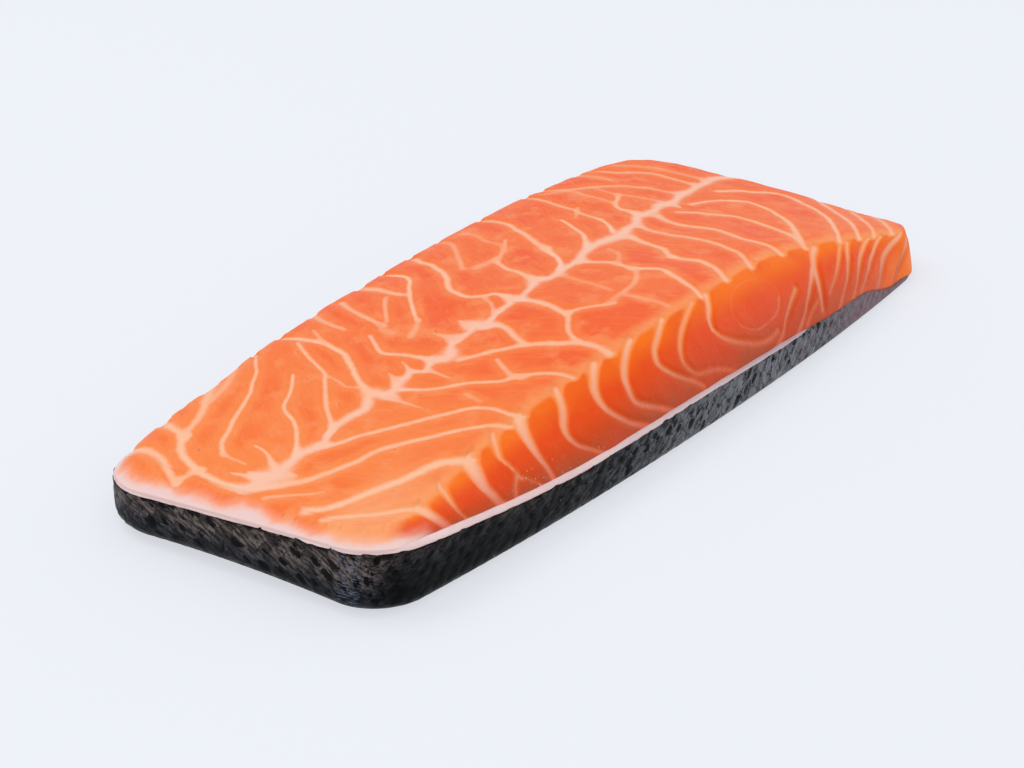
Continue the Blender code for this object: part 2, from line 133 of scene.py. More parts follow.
# The pale lines on the top, in millimetres: half a line's width at its two ends, how pale it is, its points
TOP_LINES = (
    (1.3, 1.2, 1.0, (-114.0, 3), (-114.5, 8), (-113.4, 17), (-110, 25), (-107, 28.5), (-103, 31)),
    (1.2, 1.4, 0.9, (-103.5, 30.5), (-102, 34.5), (-100.5, 38.5), (-99, 42)),
    (1.4, 1.1, 0.9, (-112.5, 43), (-112.2, 37), (-112.6, 33), (-114.5, 27.5), (-117.8, 22), (-119.5, 19)),
    (0.9, 0.8, 0.8, (-119, 19.5), (-115.5, 18.2), (-112, 17)),
    (1.0, 1.6, 0.8, (-103, 31), (-98, 32.8), (-94, 34.3), (-90, 36.5), (-87, 38.8), (-83, 41.5),
     (-79, 44)),
    (1.0, 1.5, 0.5, (-87, 37), (-81, 38.5), (-76, 41), (-71, 44)),
    (0.5, 0.6, 0.5, (-105, 10), (-104.8, 15), (-104.5, 17.5)),
    (0.8, 0.5, 0.9, (-104.7, 17), (-102, 20), (-99.5, 21.8), (-95.5, 23.5), (-91, 26), (-87, 27.5),
     (-82.5, 29.5), (-78.5, 31.5), (-75, 34), (-70, 37), (-67, 40), (-62, 44.5)),
    (0.7, 0.4, 0.8, (-103, 2), (-102, 4), (-99.5, 7.5), (-98, 10.5), (-97.5, 13.5)),
    (0.7, 0.5, 0.95, (-96, 2), (-91, 6), (-87, 9.5), (-84, 13), (-82, 17), (-79.5, 19.8), (-75, 22),
     (-71, 24.5), (-66.5, 28)),
    (0.7, 0.6, 0.85, (-85, 1.5), (-82.5, 2.2), (-79.5, 5), (-76, 9), (-74, 11), (-69.5, 15), (-65.5, 18.5),
     (-62.5, 21), (-60, 25.5), (-58, 29.5), (-55.5, 34), (-53, 38)),
    (0.5, 0.5, 0.45, (-63.5, 9), (-65, 12), (-64, 15), (-63, 19)),
    (0.9, 1.0, 0.95, (-63.5, 7), (-60, 13), (-57, 16.5), (-54.5, 20), (-52, 23.5), (-50.5, 28.5),
     (-50, 32), (-50.6, 38), (-51.5, 44)),
    (0.5, 0.6, 0.5, (-50, 31), (-48, 35), (-45.5, 39)),
    (1.0, 0.6, 0.85, (-43.5, 2), (-44.5, 7), (-45.5, 10.5), (-47, 14), (-46.5, 16.5), (-44, 20),
     (-41, 24)),
    (1.6, 0.5, 0.35, (-37.5, 20), (-37, 23), (-35, 26)),
    (0.7, 1.0, 0.6, (-41.5, 32), (-41, 37), (-39.5, 41.5), (-37, 46)),
    (0.8, 1.0, 0.7, (-35, 24), (-34.5, 28), (-33.5, 32), (-32.5, 36), (-31, 39.5), (-28, 44.5)),
    (0.6, 0.8, 0.6, (-33, 24.8), (-29, 28.5), (-25.5, 31.5), (-22, 34)),
    (1.1, 1.5, 0.75, (-18.8, 31), (-18.8, 35), (-18, 40), (-17, 46)),
    (1.3, 0.7, 0.5, (-37, 14), (-32, 16), (-28.5, 18.2)),
    (0.6, 0.8, 1.0, (-29, 17.8), (-26.5, 21), (-23.5, 24), (-20.5, 27), (-17, 30), (-13.5, 33),
     (-10, 35.5), (-8, 38.5), (-7.5, 42), (-7, 46)),
    (0.9, 1.0, 0.9, (-8.5, 5), (-8.5, 8.5), (-10, 10.5), (-12.3, 14), (-12.2, 17.5), (-11, 21), (-9, 23.5),
     (-5.5, 26.5), (-2.5, 30), (-0.5, 33.5), (1.5, 37.5), (2.5, 41.5), (5, 46)),
    (0.4, 0.8, 0.5, (-18, 2), (-14, 5.5), (-11.5, 9.5)),
    (0.9, 0.8, 0.45, (2, 27), (5.5, 30.5), (8.5, 33.5), (12.5, 37.5), (16, 41.5), (17.5, 46)),
    (1.0, 0.8, 0.8, (4, 4), (4.5, 7), (6, 11), (7, 16), (9, 20), (11, 22.5)),
    (1.8, 0.9, 0.45, (4, 24), (8.5, 23), (12, 23)),
    (0.9, 0.5, 0.6, (11, 22.5), (14.5, 23.5), (19.5, 26), (24, 29)),
    (0.8, 0.9, 0.3, (17, 24), (20, 28), (20.5, 33), (23, 38), (24, 44)),
    (0.6, 1.3, 0.95, (12, 2.5), (16, 5), (19, 8), (21.5, 12), (24, 15.5)),
    (1.3, 0.8, 0.8, (24, 15.5), (26, 20), (28, 23.5), (30, 27), (31.5, 30.5), (34, 35), (35, 39.5),
     (36, 46)),
    (1.0, 0.6, 0.9, (30, 6), (33, 8.5), (36, 11), (39, 14), (41, 17.5), (43, 21), (44.8, 25)),
    (0.7, 0.8, 0.9, (44.5, 7.5), (47.5, 10.5), (50, 13.5), (51.5, 16.5)),
    (0.8, 0.8, 0.7, (51.5, 16.5), (52, 20), (52.5, 23.5), (54, 27), (54, 31), (54.5, 34), (55.5, 38.5),
     (57, 45.5)),
    (0.5, 0.5, 0.5, (49, 23), (52, 25), (56.5, 27.5)),
    (0.9, 0.8, 0.8, (62, 11), (62.5, 17), (65, 20.5), (69, 22.5), (72.5, 24.7)),
    (0.9, 0.9, 0.4, (65.5, 22), (66, 27), (66, 32), (66.5, 35.5), (65, 38.5), (61, 42)),
    (0.9, 0.8, 0.35, (75, 12.5), (74.5, 17), (73, 22), (72, 27), (72.5, 32)),
    (1.0, 0.9, 0.6, (83.5, 23), (80.5, 27.5), (77, 31), (73, 34), (69, 37), (65.5, 41), (64, 46)),
    (0.9, 0.8, 0.55, (86, 14), (84.5, 19), (83.8, 23)),
    (1.0, 1.2, 0.35, (82.5, 34), (81.5, 39), (81, 45)),
    (1.0, 1.0, 0.6, (98, 15), (97.5, 19.5), (97, 24), (97, 27.5), (95.5, 31), (92, 34.5), (89.5, 37),
     (87.5, 42)),
    (1.1, 1.1, 0.35, (104.5, 16), (103.5, 22), (102.5, 27), (101, 31.5), (98, 36), (95, 41)),
    (1.2, 0.8, 0.85, (-112, 0), (-109, -3), (-106, -5.2), (-103, -7.5), (-99, -9.3), (-94.5, -11),
     (-89.5, -12.5), (-84.5, -13.2), (-79.5, -15.3), (-74.5, -18), (-69.5, -21), (-64.5, -24.5),
     (-60, -28), (-56, -32)),
    (0.9, 0.8, 0.85, (-90, -0.5), (-86, -3.5), (-82, -4.8), (-77, -7.5), (-72, -10), (-67, -12.8),
     (-62.5, -15.5), (-59, -18), (-56, -20.5), (-54, -24.5), (-53.3, -28), (-51, -32)),
    (1.4, 1.5, 1.0, (-113.5, -15.5), (-110, -19), (-106, -21), (-101, -22.5), (-97, -24), (-92, -25.5),
     (-87, -26.8), (-82, -27.6), (-78, -29.5), (-73, -33)),
    (1.0, 0.9, 0.8, (-114, -21), (-109, -27), (-105.5, -30.5), (-101, -33.5), (-96.5, -36.5)),
    (0.7, 0.4, 0.6, (-114.5, -4), (-111, -8), (-107.5, -12), (-105, -14)),
    (0.8, 0.7, 0.85, (-58.5, 0), (-57.5, -2), (-55, -5.5), (-51, -9), (-47.5, -12), (-45, -16),
     (-42.5, -19.5), (-40, -21)),
    (0.8, 0.8, 0.3, (-52, -15), (-53, -20)),
    (0.7, 1.1, 0.6, (-36, -12.5), (-38, -16), (-40, -20), (-39.5, -23)),
    (0.9, 0.7, 0.8, (-39.5, -22), (-37, -24.5), (-34.5, -28), (-32, -33)),
    (0.8, 1.4, 0.85, (-40, -4), (-37, -6.5), (-33, -9.5), (-29.5, -13), (-26.5, -16), (-24.5, -19),
     (-22.5, -22.5), (-20.5, -26), (-19.5, -30), (-19, -35)),
    (1.3, 0.9, 0.85, (-24.5, 0), (-22.5, -3), (-23.5, -7), (-25.5, -10.5), (-27, -14)),
    (1.3, 1.0, 0.9, (-8.5, 0), (-8, -5.5), (-8.5, -9), (-9.5, -12.5), (-10, -15.5)),
    (0.8, 0.8, 0.8, (-10, -15.5), (-12.5, -17.5), (-15.5, -19.5), (-18, -22), (-19.7, -25.5)),
    (0.8, 0.7, 0.8, (-9.5, -15.5), (-6, -17.5), (-3.5, -20), (0, -23)),
    (1.2, 1.2, 0.35, (0, -22), (5, -22), (6, -28), (6.5, -35)),
    (1.0, 0.8, 0.3, (9, -1), (8, -6), (7.5, -12), (6, -18)),
    (0.9, 1.0, 0.5, (6, -21.5), (13, -20.5), (18, -18), (21, -15.5)),
    (1.3, 1.0, 0.8, (19.5, 0.5), (21, -3.5), (22.5, -7), (22, -11), (21.5, -14.5)),
    (1.1, 1.0, 0.85, (21.5, -14.5), (23.5, -17.5), (25, -21), (23.5, -25), (22, -28.5), (20.5, -32.5),
     (19, -38)),
    (0.8, 0.7, 0.35, (31.5, 0), (30, -4), (26, -7), (22, -9)),
    (1.3, 1.0, 0.85, (43.5, 1), (41.5, -5), (41, -8), (40, -12), (37.5, -15), (35.8, -17.5)),
    (1.2, 1.2, 0.8, (35.8, -17.5), (36, -20.5), (37.5, -24.5), (36.5, -28.5), (35, -32), (32.5, -37)),
    (1.1, 1.0, 0.7, (53, 4), (51.5, -0.5), (51.5, -5.5), (52, -10.5), (52.5, -15.5), (52, -20.5),
     (51, -25.5), (50, -29.5), (48, -32.5), (45.5, -37)),
    (1.2, 1.1, 0.75, (63.5, 5), (61.5, 0), (61, -4.5), (62.5, -9), (63.5, -14), (62.5, -19), (61, -24),
     (61.5, -29), (62, -33), (61, -38)),
    (1.0, 1.1, 0.75, (70, 3), (74, -1), (76, -4.5), (79, -8), (80.5, -11), (80, -15), (79.5, -19.5),
     (78.5, -24), (77, -28), (75, -32), (73.5, -35), (71.5, -39.5)),
    (0.9, 1.0, 0.85, (80, 4.8), (86, 3.5), (90, 1.5), (93.5, -1), (96, -4), (96, -8), (94.5, -12.5),
     (92, -16.5), (89.5, -20.5), (86, -24.5), (82, -28), (78, -31.5), (75, -34.5)),
    (1.1, 0.8, 0.9, (98, 7), (103.5, 4), (107, 1), (110.5, -2), (113.3, -5), (113, -9.5), (110.5, -14),
     (109, -18), (106, -23), (102.5, -27), (98, -31), (93, -35), (89.5, -38), (85, -41.5)),
    (1.0, 0.8, 0.8, (119, -15), (114.5, -21), (110.5, -26.5), (105.5, -32.5), (101, -36.5), (96, -41),
     (93, -44)),
    (0.9, 0.7, 0.7, (121, -24), (115, -30.5), (110.5, -35), (105.5, -40), (100, -44)),
    (1.0, 1.0, 0.7, (121.5, -31), (117, -37.5), (113, -41), (108, -46)),
)

# The blotchy pale band along the middle: places with half its width there, in millimetres
MIDLINE = (
    (-113, 1.5, 2.0), (-110, 1.5, 2.6), (-106.5, 0.8, 3.8), (-103, 0.5, 2.6), (-98, 1.3, 1.5),
    (-94, 1.3, 1.7), (-90, 0.3, 1.8), (-87.5, 0.3, 1.0), (-84.5, 1.8, 0.9), (-79.5, 2.8, 1.2),
    (-75, 2.5, 1.4), (-70, 2.0, 1.5), (-66.5, 4.0, 1.6), (-64, 5.0, 2.2), (-62.5, 1.5, 2.2),
    (-59.5, 1.5, 1.1), (-56.5, 2.5, 1.7), (-53.5, 2.6, 1.1), (-50.5, 2.8, 0.9), (-48.5, 0.3, 0.8),
    (-44, 1.5, 1.4), (-40, -0.6, 2.3), (-36, 1.8, 1.0), (-33, 2.5, 1.7), (-28, 1.8, 1.2), (-25, 3.5, 2.6),
    (-23.5, 0.5, 1.8), (-19.5, 1.0, 0.8), (-15.5, 1.6, 1.2), (-12, 1.3, 1.2), (-9, 3.0, 1.8),
    (-7.5, 1.2, 1.2), (-4, 1.5, 1.0), (0.5, 2.8, 1.5), (3.8, 4.0, 2.4), (6, 1.8, 1.3), (10, 1.3, 1.6),
    (12.5, 2.0, 1.5), (16, 1.6, 1.2), (20, 1.8, 1.6), (23.5, 3.3, 1.4), (27, 4.5, 1.6), (30.5, 5.0, 1.7),
    (34, 5.2, 2.0), (38, 4.8, 2.4), (42, 4.2, 2.6), (46, 4.8, 2.0), (50, 6.0, 1.5), (54, 6.2, 1.6),
    (57, 8.0, 1.5), (60, 9.5, 1.8), (63.5, 8.8, 2.3), (68, 9.0, 1.4), (72, 10.0, 2.0), (76, 9.2, 2.0),
    (79, 9.6, 1.4), (82, 10.5, 1.4), (85.5, 11.8, 1.7), (88.5, 12.4, 1.9), (92, 12.5, 1.4),
    (97, 13.5, 1.5), (102, 13.8, 1.5), (107, 14.8, 1.9), (111, 14.8, 1.8), (115, 13.7, 1.8),
)
SPURS = (
    (1.0, 0.2, 0.9, (-108, 3), (-109, 7), (-109.7, 10.5)),
    (0.8, 0.2, 0.9, (-106.5, 3), (-107.2, 7)),
    (0.8, 0.2, 0.7, (-104.5, -2), (-103, -4)),
    (0.9, 0.2, 0.6, (-63, 0), (-63, -5), (-62.5, -10)),
    (0.8, 0.2, 0.6, (-56, 3.5), (-54.5, 7)),
    (0.7, 0.2, 0.7, (-50.5, 3.5), (-48, 8)),
    (0.7, 0.2, 0.6, (-48, -0.5), (-48, -7)),
    (1.2, 0.3, 0.6, (-32.5, 3.5), (-33, 9.5)),
    (0.9, 0.2, 0.7, (-25, 5), (-24.3, 8.5)),
    (0.9, 0.2, 0.8, (62, 11), (63, 15)),
    (0.7, 0.2, 0.6, (75.5, 8), (74.5, 4)),
)

# The lines on the front side: x in millimetres, and how far up the side, from 0 at the fat to 1 at the top
FRONT_LINES = (
    (1.7, 1.9, 0.95, (-97.2, -0.1), (-97.3, 0.5), (-97, 1.05)),
    (0.5, 0.6, 0.55, (-91, 0.0), (-91, 0.3), (-90, 0.5), (-88, 0.7), (-85.5, 0.95)),
    (1.6, 1.8, 0.95, (-79.5, -0.1), (-79, 0.3), (-78, 0.56), (-75.5, 0.76), (-71.5, 1.0)),
    (0.4, 0.6, 0.6, (-69, 0.27), (-68.5, 0.46), (-68, 0.66), (-65.5, 0.8), (-61.5, 0.98)),
    (0.3, 0.4, 0.6, (-65, 0.0), (-67, 0.2), (-69, 0.35)),
    (0.4, 0.4, 0.6, (-75, 0.0), (-72.5, 0.2), (-69.5, 0.35)),
    (0.7, 1.6, 0.9, (-61.5, -0.05), (-60.5, 0.17), (-59.5, 0.41), (-58, 0.61), (-55.5, 0.8), (-51.5, 1.0)),
    (0.7, 0.9, 0.8, (-39, -0.1), (-42.5, 0.02), (-45, 0.15), (-47.5, 0.29), (-48, 0.44), (-46.5, 0.58),
     (-42.5, 0.75), (-38, 1.0)),
    (0.8, 1.1, 0.8, (-21, -0.1), (-27.5, 0.1), (-31, 0.25), (-33.2, 0.44), (-33, 0.61), (-30.5, 0.78),
     (-24.5, 1.0)),
    (0.8, 0.9, 0.8, (-10, -0.1), (-14, 0.0), (-19, 0.15), (-23, 0.27), (-24.5, 0.37), (-23.5, 0.54),
     (-21.5, 0.68), (-17, 0.85), (-11.5, 1.0)),
    (0.6, 0.8, 0.7, (0.5, 0.05), (-2, 0.15), (-6, 0.27), (-9.5, 0.42), (-11, 0.56), (-9, 0.71), (-5, 0.83),
     (1, 1.0)),
    (0.5, 0.6, 0.45, (15, 0.0), (10.5, 0.1), (5.5, 0.17), (-0.5, 0.22), (-3, 0.37), (-2.5, 0.51),
     (0.5, 0.66), (5.5, 0.8), (14, 0.97)),
    (0.7, 0.6, 0.45, (38, 0.17), (33, 0.13), (28, 0.15), (24.5, 0.2), (19, 0.3), (14.5, 0.42),
     (12.8, 0.54)),
    (0.5, 1.0, 0.85, (12.8, 0.54), (14.5, 0.68), (18, 0.82), (21, 0.97)),
    (0.4, 0.5, 0.30, (23.5, 0.42), (26.5, 0.34), (30, 0.3), (36, 0.32), (41, 0.37), (45, 0.5)),
    (0.4, 0.5, 0.10, (45, 0.5), (46, 0.65), (42, 0.8), (34, 0.84), (27, 0.75), (23, 0.58), (23.5, 0.42)),
    (0.5, 0.5, 0.7, (30.5, -0.08), (36, 0.02), (40, 0.11), (43, 0.23), (47, 0.35), (50.5, 0.44),
     (54, 0.52)),
    (0.5, 0.6, 0.85, (45, -0.02), (49.5, 0.1), (52.5, 0.2), (55.5, 0.32), (59.5, 0.45), (63, 0.56),
     (66, 0.66)),
    (0.8, 1.1, 0.85, (60.5, 0.12), (62.5, 0.34), (65, 0.51), (68, 0.71), (72, 0.88), (75.5, 1.0)),
    (0.4, 0.4, 0.4, (51, 0.03), (55, 0.17), (60, 0.27)),
    (0.4, 0.4, 0.45, (66, 0.27), (73, 0.46), (78, 0.63), (82, 0.78), (87, 0.98)),
    (0.5, 0.6, 0.65, (67.5, -0.02), (71, 0.1), (75, 0.25), (79.5, 0.44), (84, 0.66), (89, 0.93)),
    (0.6, 0.6, 0.7, (76, 0.0), (80.5, 0.17), (84.5, 0.37), (89.5, 0.59), (93.5, 0.76), (98.5, 1.0)),
    (0.6, 0.6, 0.75, (80.5, -0.02), (86.5, 0.2), (92, 0.44), (96.5, 0.63), (100, 0.83), (103.5, 1.02)),
    (0.9, 1.2, 0.8, (91, -0.05), (94.5, 0.12), (97.5, 0.32), (100.5, 0.51), (105, 0.68), (110, 0.85),
     (114, 1.0)),
    (0.6, 0.8, 0.5, (103, 0.0), (108, 0.25), (112, 0.5), (117, 0.7)),
)

# How lines and relief are laid on the flesh, in millimetres where they are compared with lines
LINE_REACH = 2.5
BORDER_REACH = 1.5
TOP_LINE_SHARE = 0.9
FRONT_LINE_SHARE = 0.74
FAINT_BELOW = 0.4
FAINT_SHIFT = 6.0
FAR_OFF = 99.0
LEAST_WEIGHT = 0.3
MIDLINE_STRENGTH = 0.85
MIDLINE_LEAST = 0.4
SIDE_FROM = (0.80, 0.88)
FRONT_UNTIL = (0.985, 1.0)
HEAD_FROM = (0.97, 1.0)
HEAD_WITHIN = (0.93, 0.83)
RIDGE_FADE = (0.5, 2.5)
BACK_LINES_FROM = (-0.9, -0.7)
BACK_LINES_SHIFT = -4.0
HEAD_RINGS = (-10.0, 9.0, 1.3)
HEAD_RING_PITCH = 6.5
HEAD_RING_WIDTH = 0.7
HEAD_RING_WAVE = 0.35
HEAD_WAVE_SIZE = 0.014
HEAD_RING_STRENGTH = 0.75
GROOVE_WIDTH = 1.0
GROOVE_ON_TOP = 0.00025
GROOVE_ON_SIDE = 0.00080
DEEPER_FROM = (0.75, 1.0)
DEEP_ROWS = (0.08, 0.75)
RELIEF_RISE = 0.15
FRONT_HALF = (0.5, 0.7)
ROUNDING = 0.8
RIDGE_BORDER = 0.2
LEAN_DOWN_BACK = 0.3
UNEVEN_SIZE = 0.022
UNEVEN_DEPTH = 0.0005
RIPPLE_SIZE = 0.0045
RIPPLE_DEPTH = 0.00016
FLESH_MIDDLE = (0.001, 0.001, 0.002, 0.008, 0.015)
FIBRE_LEAN = (0.5, 0.7)

# The fat's waves, and the skin's rim, scales and streaks, by the distance along it from the tail and front
# corner
LAYER_OVERLAP = 0.0004
FAT_ROWS = 6
FAT_WAVE_SIZE = 0.006
FAT_WAVE_DEPTH = 0.00018
FAT_WAVE_ABOVE = 0.004
SKIN_RIM_ROUND = 0.0004
RIM_WAVE_SIZE = 0.0028
RIM_WAVE = 0.0005
SCALE_PITCH = ((-0.10, -0.02, 0.06, 0.14, 0.19), (0.0038, 0.0038, 0.0048, 0.0050, 0.0040))
SCALE_ROWS = ((-0.10, 0.0, 0.06, 0.14, 0.19), (0.0028, 0.0028, 0.0034, 0.0036, 0.0030))
SHIFTS_ALONG = ((0.20, 0.009, 2.0), (0.10, 0.003, 4.0))
SHIFTS_UP = ((0.14, 0.008, 8.0), (0.07, 0.003, 6.0))
SCALE_RELIEF = 0.00020
RELIEF_FROM = (0.0004, 0.0030)
STREAK_LEAN = ((-0.008, 0.004, 0.09, 0.15), (-32.0, 18.0, 24.0, 46.0))
SKIN_SPAN = (-0.4, 0.6, 1001)
AROUND_TO_BACK = 0.44
TAIL_MIDDLE = -0.060
WAVE_FADE = (-0.1, 0.25)

# What the camera and the light of the photo were worked out to be
CAMERA_AT = (-0.4998, -0.3566, 0.3113)
CAMERA_TURN = (63.0, 0.0, -53.8)
CAMERA_LENS = 91.41
BACKGROUND = (0.855, 0.879, 0.930)
FLOOR_COLOUR = (0.26, 0.265, 0.28)
FLOOR_GLOW = 0.70
FLOOR_SIZE = 4.0
WORLD_STRENGTH = 0.85
LIGHTS = (
    ("key", (-0.25, 0.45, 0.95), 3.0, 0.7),
    ("fill", (-0.5, -0.7, 0.6), 0.8, 0.6),
    ("side", (0.75, -0.45, 0.25), 1.0, 0.5),
)


def smooth(t):
    """An eased ramp from 0 to 1."""
    t = np.clip(t, 0.0, 1.0)
    return t * t * (3.0 - 2.0 * t)


def between(value, ends):
    """An eased ramp from 0 at the first end to 1 at the second."""
    return smooth((value - ends[0]) / (ends[1] - ends[0]))


def blend(a, b, share):
    """Goes from a to b as the share goes from 0 to 1."""
    return a + (b - a) * share


def along(p, values):
    """A smooth curve through evenly spaced values, with p from -1 at the tail to 1 at the head."""
    values = np.asarray(values)
    last = len(values) - 1
    place = (np.clip(p, -1.0, 1.0) + 1.0) / 2.0 * last
    i = np.minimum(place.astype(int), last - 1)
    t = place - i
    before, a, b = values[np.maximum(i - 1, 0)], values[i], values[i + 1]
    after = values[np.minimum(i + 2, last)]
    slope_a = (b - before) / np.where(i > 0, 2.0, 1.0)
    slope_b = (after - a) / np.where(i + 2 <= last, 2.0, 1.0)
    return a + (b - a) * smooth(t) + slope_a * t * (1.0 - t) ** 2 - slope_b * t * t * (1.0 - t)


def rounded(u, v):
    """Moves (u, v) of the unit square so that the square's edge becomes the round-cornered plan."""
    half_length = LENGTH / 2.0
    half_width = (TAIL_WIDTH + HEAD_WIDTH) / 4.0 + SIDE_BULGE / 2.0
    tail = np.where(v < 0.0, CORNERS[-1, -1], CORNERS[-1, 1])
    head = np.where(v < 0.0, CORNERS[1, -1], CORNERS[1, 1])
    radius = np.where(u < 0.0, tail, head)
    over_x = np.abs(u) * half_length - (half_length - radius)
    over_y = np.abs(v) * half_width - (half_width - radius)
    corner = (over_x > 0.0) & (over_y > 0.0)
    scale = np.maximum(over_x, over_y) / np.where(corner, np.hypot(over_x, over_y), 1.0)
    p = (half_length - radius + over_x * scale) / half_length
    q = (half_width - radius + over_y * scale) / half_width
    return np.where(corner, np.copysign(p, u), u), np.where(corner, np.copysign(q, v), v)


def plan(p, q, front=0.0, back=0.0, tail=0.0, head=0.0):
    """The plan point of (p, q), with each side drawn in by its own inset."""
    half_width = (TAIL_WIDTH + HEAD_WIDTH) / 4.0 + (HEAD_WIDTH - TAIL_WIDTH) / 4.0 * p
    half_width = half_width + SIDE_BULGE * (1.0 - p * p)
    slant = blend(TAIL_SLANT, HEAD_SLANT, (1.0 + p) / 2.0)
    x = MIDDLE_X + LENGTH / 2.0 * p - slant * q
    x = x + HEAD_BOW * (1.0 + p) / 2.0 * (1.0 - q * q)
    x = x + tail * np.maximum(0.0, -p) - head * np.maximum(0.0, p)
    y = half_width * q + front * np.maximum(0.0, -q) - back * np.maximum(0.0, q)
    return x, y


def taper(p, tail_to_head):
    """A value that goes from its tail size to its head size."""
    return blend(*tail_to_head, between(p, (TAPER_FROM, 1.0)))


def skin_rim(p, q):
    """The height of the skin's rim; it is lower at the back."""
    drop = BACK_RIM_DROP * np.maximum(0.0, (q + 1.0) / 2.0) ** BACK_RIM_DROP_POWER
    rim = along(p, SKIN_RIM) - drop * (1.0 - between(p, BACK_RIM_DROP_ENDS))
    return blend(rim, RIM_AT_HEAD, between(p, RIM_FALL))


def fat_rim(p, q):
    """The height of the fat layer's rim, a little above the skin's."""
    return skin_rim(p, q) + along(p, FAT_RISE)


def depth(skin, fat, level):
    """How far in from the outside a level lies: 0 and 1 bound the skin, 2 and 3 the fat, 4 the flesh."""
    outside_fat = skin + LAYER_GAP
    return (0.0, skin, outside_fat, outside_fat + fat, outside_fat + fat + LAYER_GAP)[level]


def side_depth(p, level):
    """A level's depth at the sides."""
    return depth(taper(p, SKIN_SIDE), taper(p, FAT_SIDE), level) + 0.0 * p


def floor_depth(level):
    """A level's height above the underside."""
    return depth(SKIN_FLOOR, FAT_FLOOR, level)


def layer_insets(p, level, extra=0.0):
    """The insets of a level from the plan's outline at the four sides."""
    side = side_depth(p, level) + extra
    if level == 4:
        side = side - FLESH_SPREAD * between(p, FLESH_SPREAD_ENDS)
    thick = FAT_AT_TAIL_END - FAT_SIDE[0] if level >= 3 else 0.0
    step = STEP_AT_HEAD * (2, 2, 1, 1, 0)[level]
    return {"front": side, "back": side, "tail": side + thick, "head": step + extra}


def arch(p, q):
    """How far the underside is lifted under the tail end."""
    return TAIL_ARCH * (1.0 - q * q) * smooth((-p - 1.0) * LENGTH / 2.0 / ARCH_REACH + 1.0)


def underside(p, q, level, turn, tuck=0.0):
    """A point of a level's rounded lower edge: turn 0 is on the underside, and 1 on the wall."""
    edge = taper(p, LOWER_EDGE)
    reach = np.maximum(edge - side_depth(p, level), INNER_EDGE)
    rise = np.maximum(edge - floor_depth(level), INNER_EDGE)
    angle = math.pi / 2.0 * turn
    x, y = plan(p, q, **layer_insets(p, level, reach * (1.0 - math.sin(angle)) + tuck))
    return x, y, floor_depth(level) + arch(p, q) + rise * (1.0 - math.cos(angle))


def flat_underside(p, q, level):
    """A point of the ring inside which a level's underside is flat."""
    insets = layer_insets(p, level, taper(p, LOWER_EDGE) + FLAT_MARGIN)
    insets["tail"] = np.maximum(insets["tail"], ARCH_REACH)
    x, y = plan(p, q, **insets)
    return x, y, floor_depth(level) + 0.0 * x


def top_height(p, q):
    """The height of the flesh's top, from the front side to the lower back side."""
    front, back = along(p, FRONT_TOP), along(p, BACK_TOP)
    across = np.clip((q + 1.0) / 2.0, 0.0, 1.0)
    return blend(front, back, across ** FALL_TO_BACK) + CROWN * (1.0 - q * q) * (1.0 - p * p)


def flesh_top(p, q):
    """A point of the flesh's top, before its relief."""
    head = HEAD_SETBACK - HEAD_CORNER_REACH * between(-q, (HEAD_CORNER_FROM, 1.0))
    x, y = plan(p, q, front=along(p, FRONT_SETBACK), back=BACK_SETBACK, tail=TAIL_SETBACK, head=head)
    edge = np.maximum(np.maximum(np.abs(p), np.abs(q)) - TOP_EDGE_FROM, 0.0) / (1.0 - TOP_EDGE_FROM)
    drop = TOP_EDGE_DROP * edge * edge * (1.0 - between(p, TAIL_EASE))
    return x, y, top_height(p, q) - drop


def head_opening(p, q):
    """1 on the cut head end, where a tray is open, and 0 elsewhere."""
    return smooth((0.86 - np.abs(q)) / 0.2) * smooth((p - 0.9) / 0.08)


def fat_top(p, q):
    """The visible height of the fat's rim."""
    return fat_rim(p, q) - FAT_LOWER


def foot_insets(p, q):
    """The insets of the flesh's foot: over the fat's rim, and towards the head over both rims."""
    insets = layer_insets(p, 4)
    side = blend(FOOT_INSET, COVER_INSET, between(p, COVER))
    side = blend(side, HANG_INSET, between(p, HANG))
    side = blend(side, insets["front"], head_opening(p, q))
    side = blend(side, TAIL_FOOT_INSET, between(p, TAIL_EASE))
    insets.update(front=side, back=side, tail=TAIL_FOOT_INSET)
    return insets


def flesh_foot(p, q):
    """A point of the foot of the flesh's side."""
    on_side = 1.0 - head_opening(p, q)
    x, y = plan(p, q, **foot_insets(p, q))
    wall_z = underside(p, q, 4, 1.0)[2]
    z = np.maximum(fat_top(p, q) - FOOT_DEPTH * (1.0 - between(p, TAIL_EASE)), wall_z + FOOT_LEAST)
    z = blend(z, skin_rim(p, q) - COVER_DEPTH, between(p, COVER) * on_side)
    return x, y, blend(z, HANG_FOOT, between(p, HANG) * on_side)


def flesh_side(p, q, s):
    """A point of the flesh's cut side: s is 0 at the fat layer's rim and 1 at the ridge."""
    foot_x, foot_y, foot_z = flesh_foot(p, q)
    ridge_x, ridge_y, ridge_z = flesh_top(p, q)
    turn = s * math.pi / 2.0
    shoulder = SHOULDER * (1.0 - between(p, TAIL_EASE))
    out = blend(s, 1.0 - math.cos(turn), shoulder)
    up = blend(s, math.sin(turn), shoulder)
    swell = along(p, OVERHANG) * smooth(s / OVERHANG_RISE) * (1.0 - s) * q ** SIDE_BULGE_POWER
    return blend(foot_x, ridge_x, out), blend(foot_y, ridge_y, out) + swell, blend(foot_z, ridge_z, up)


def spread(cells):
    """Stations from -1 to 1, a little closer together towards both ends."""
    t = np.linspace(-1.0, 1.0, cells + 1)
    return t + (np.sin(math.pi / 2.0 * t) - t) * CROWDING


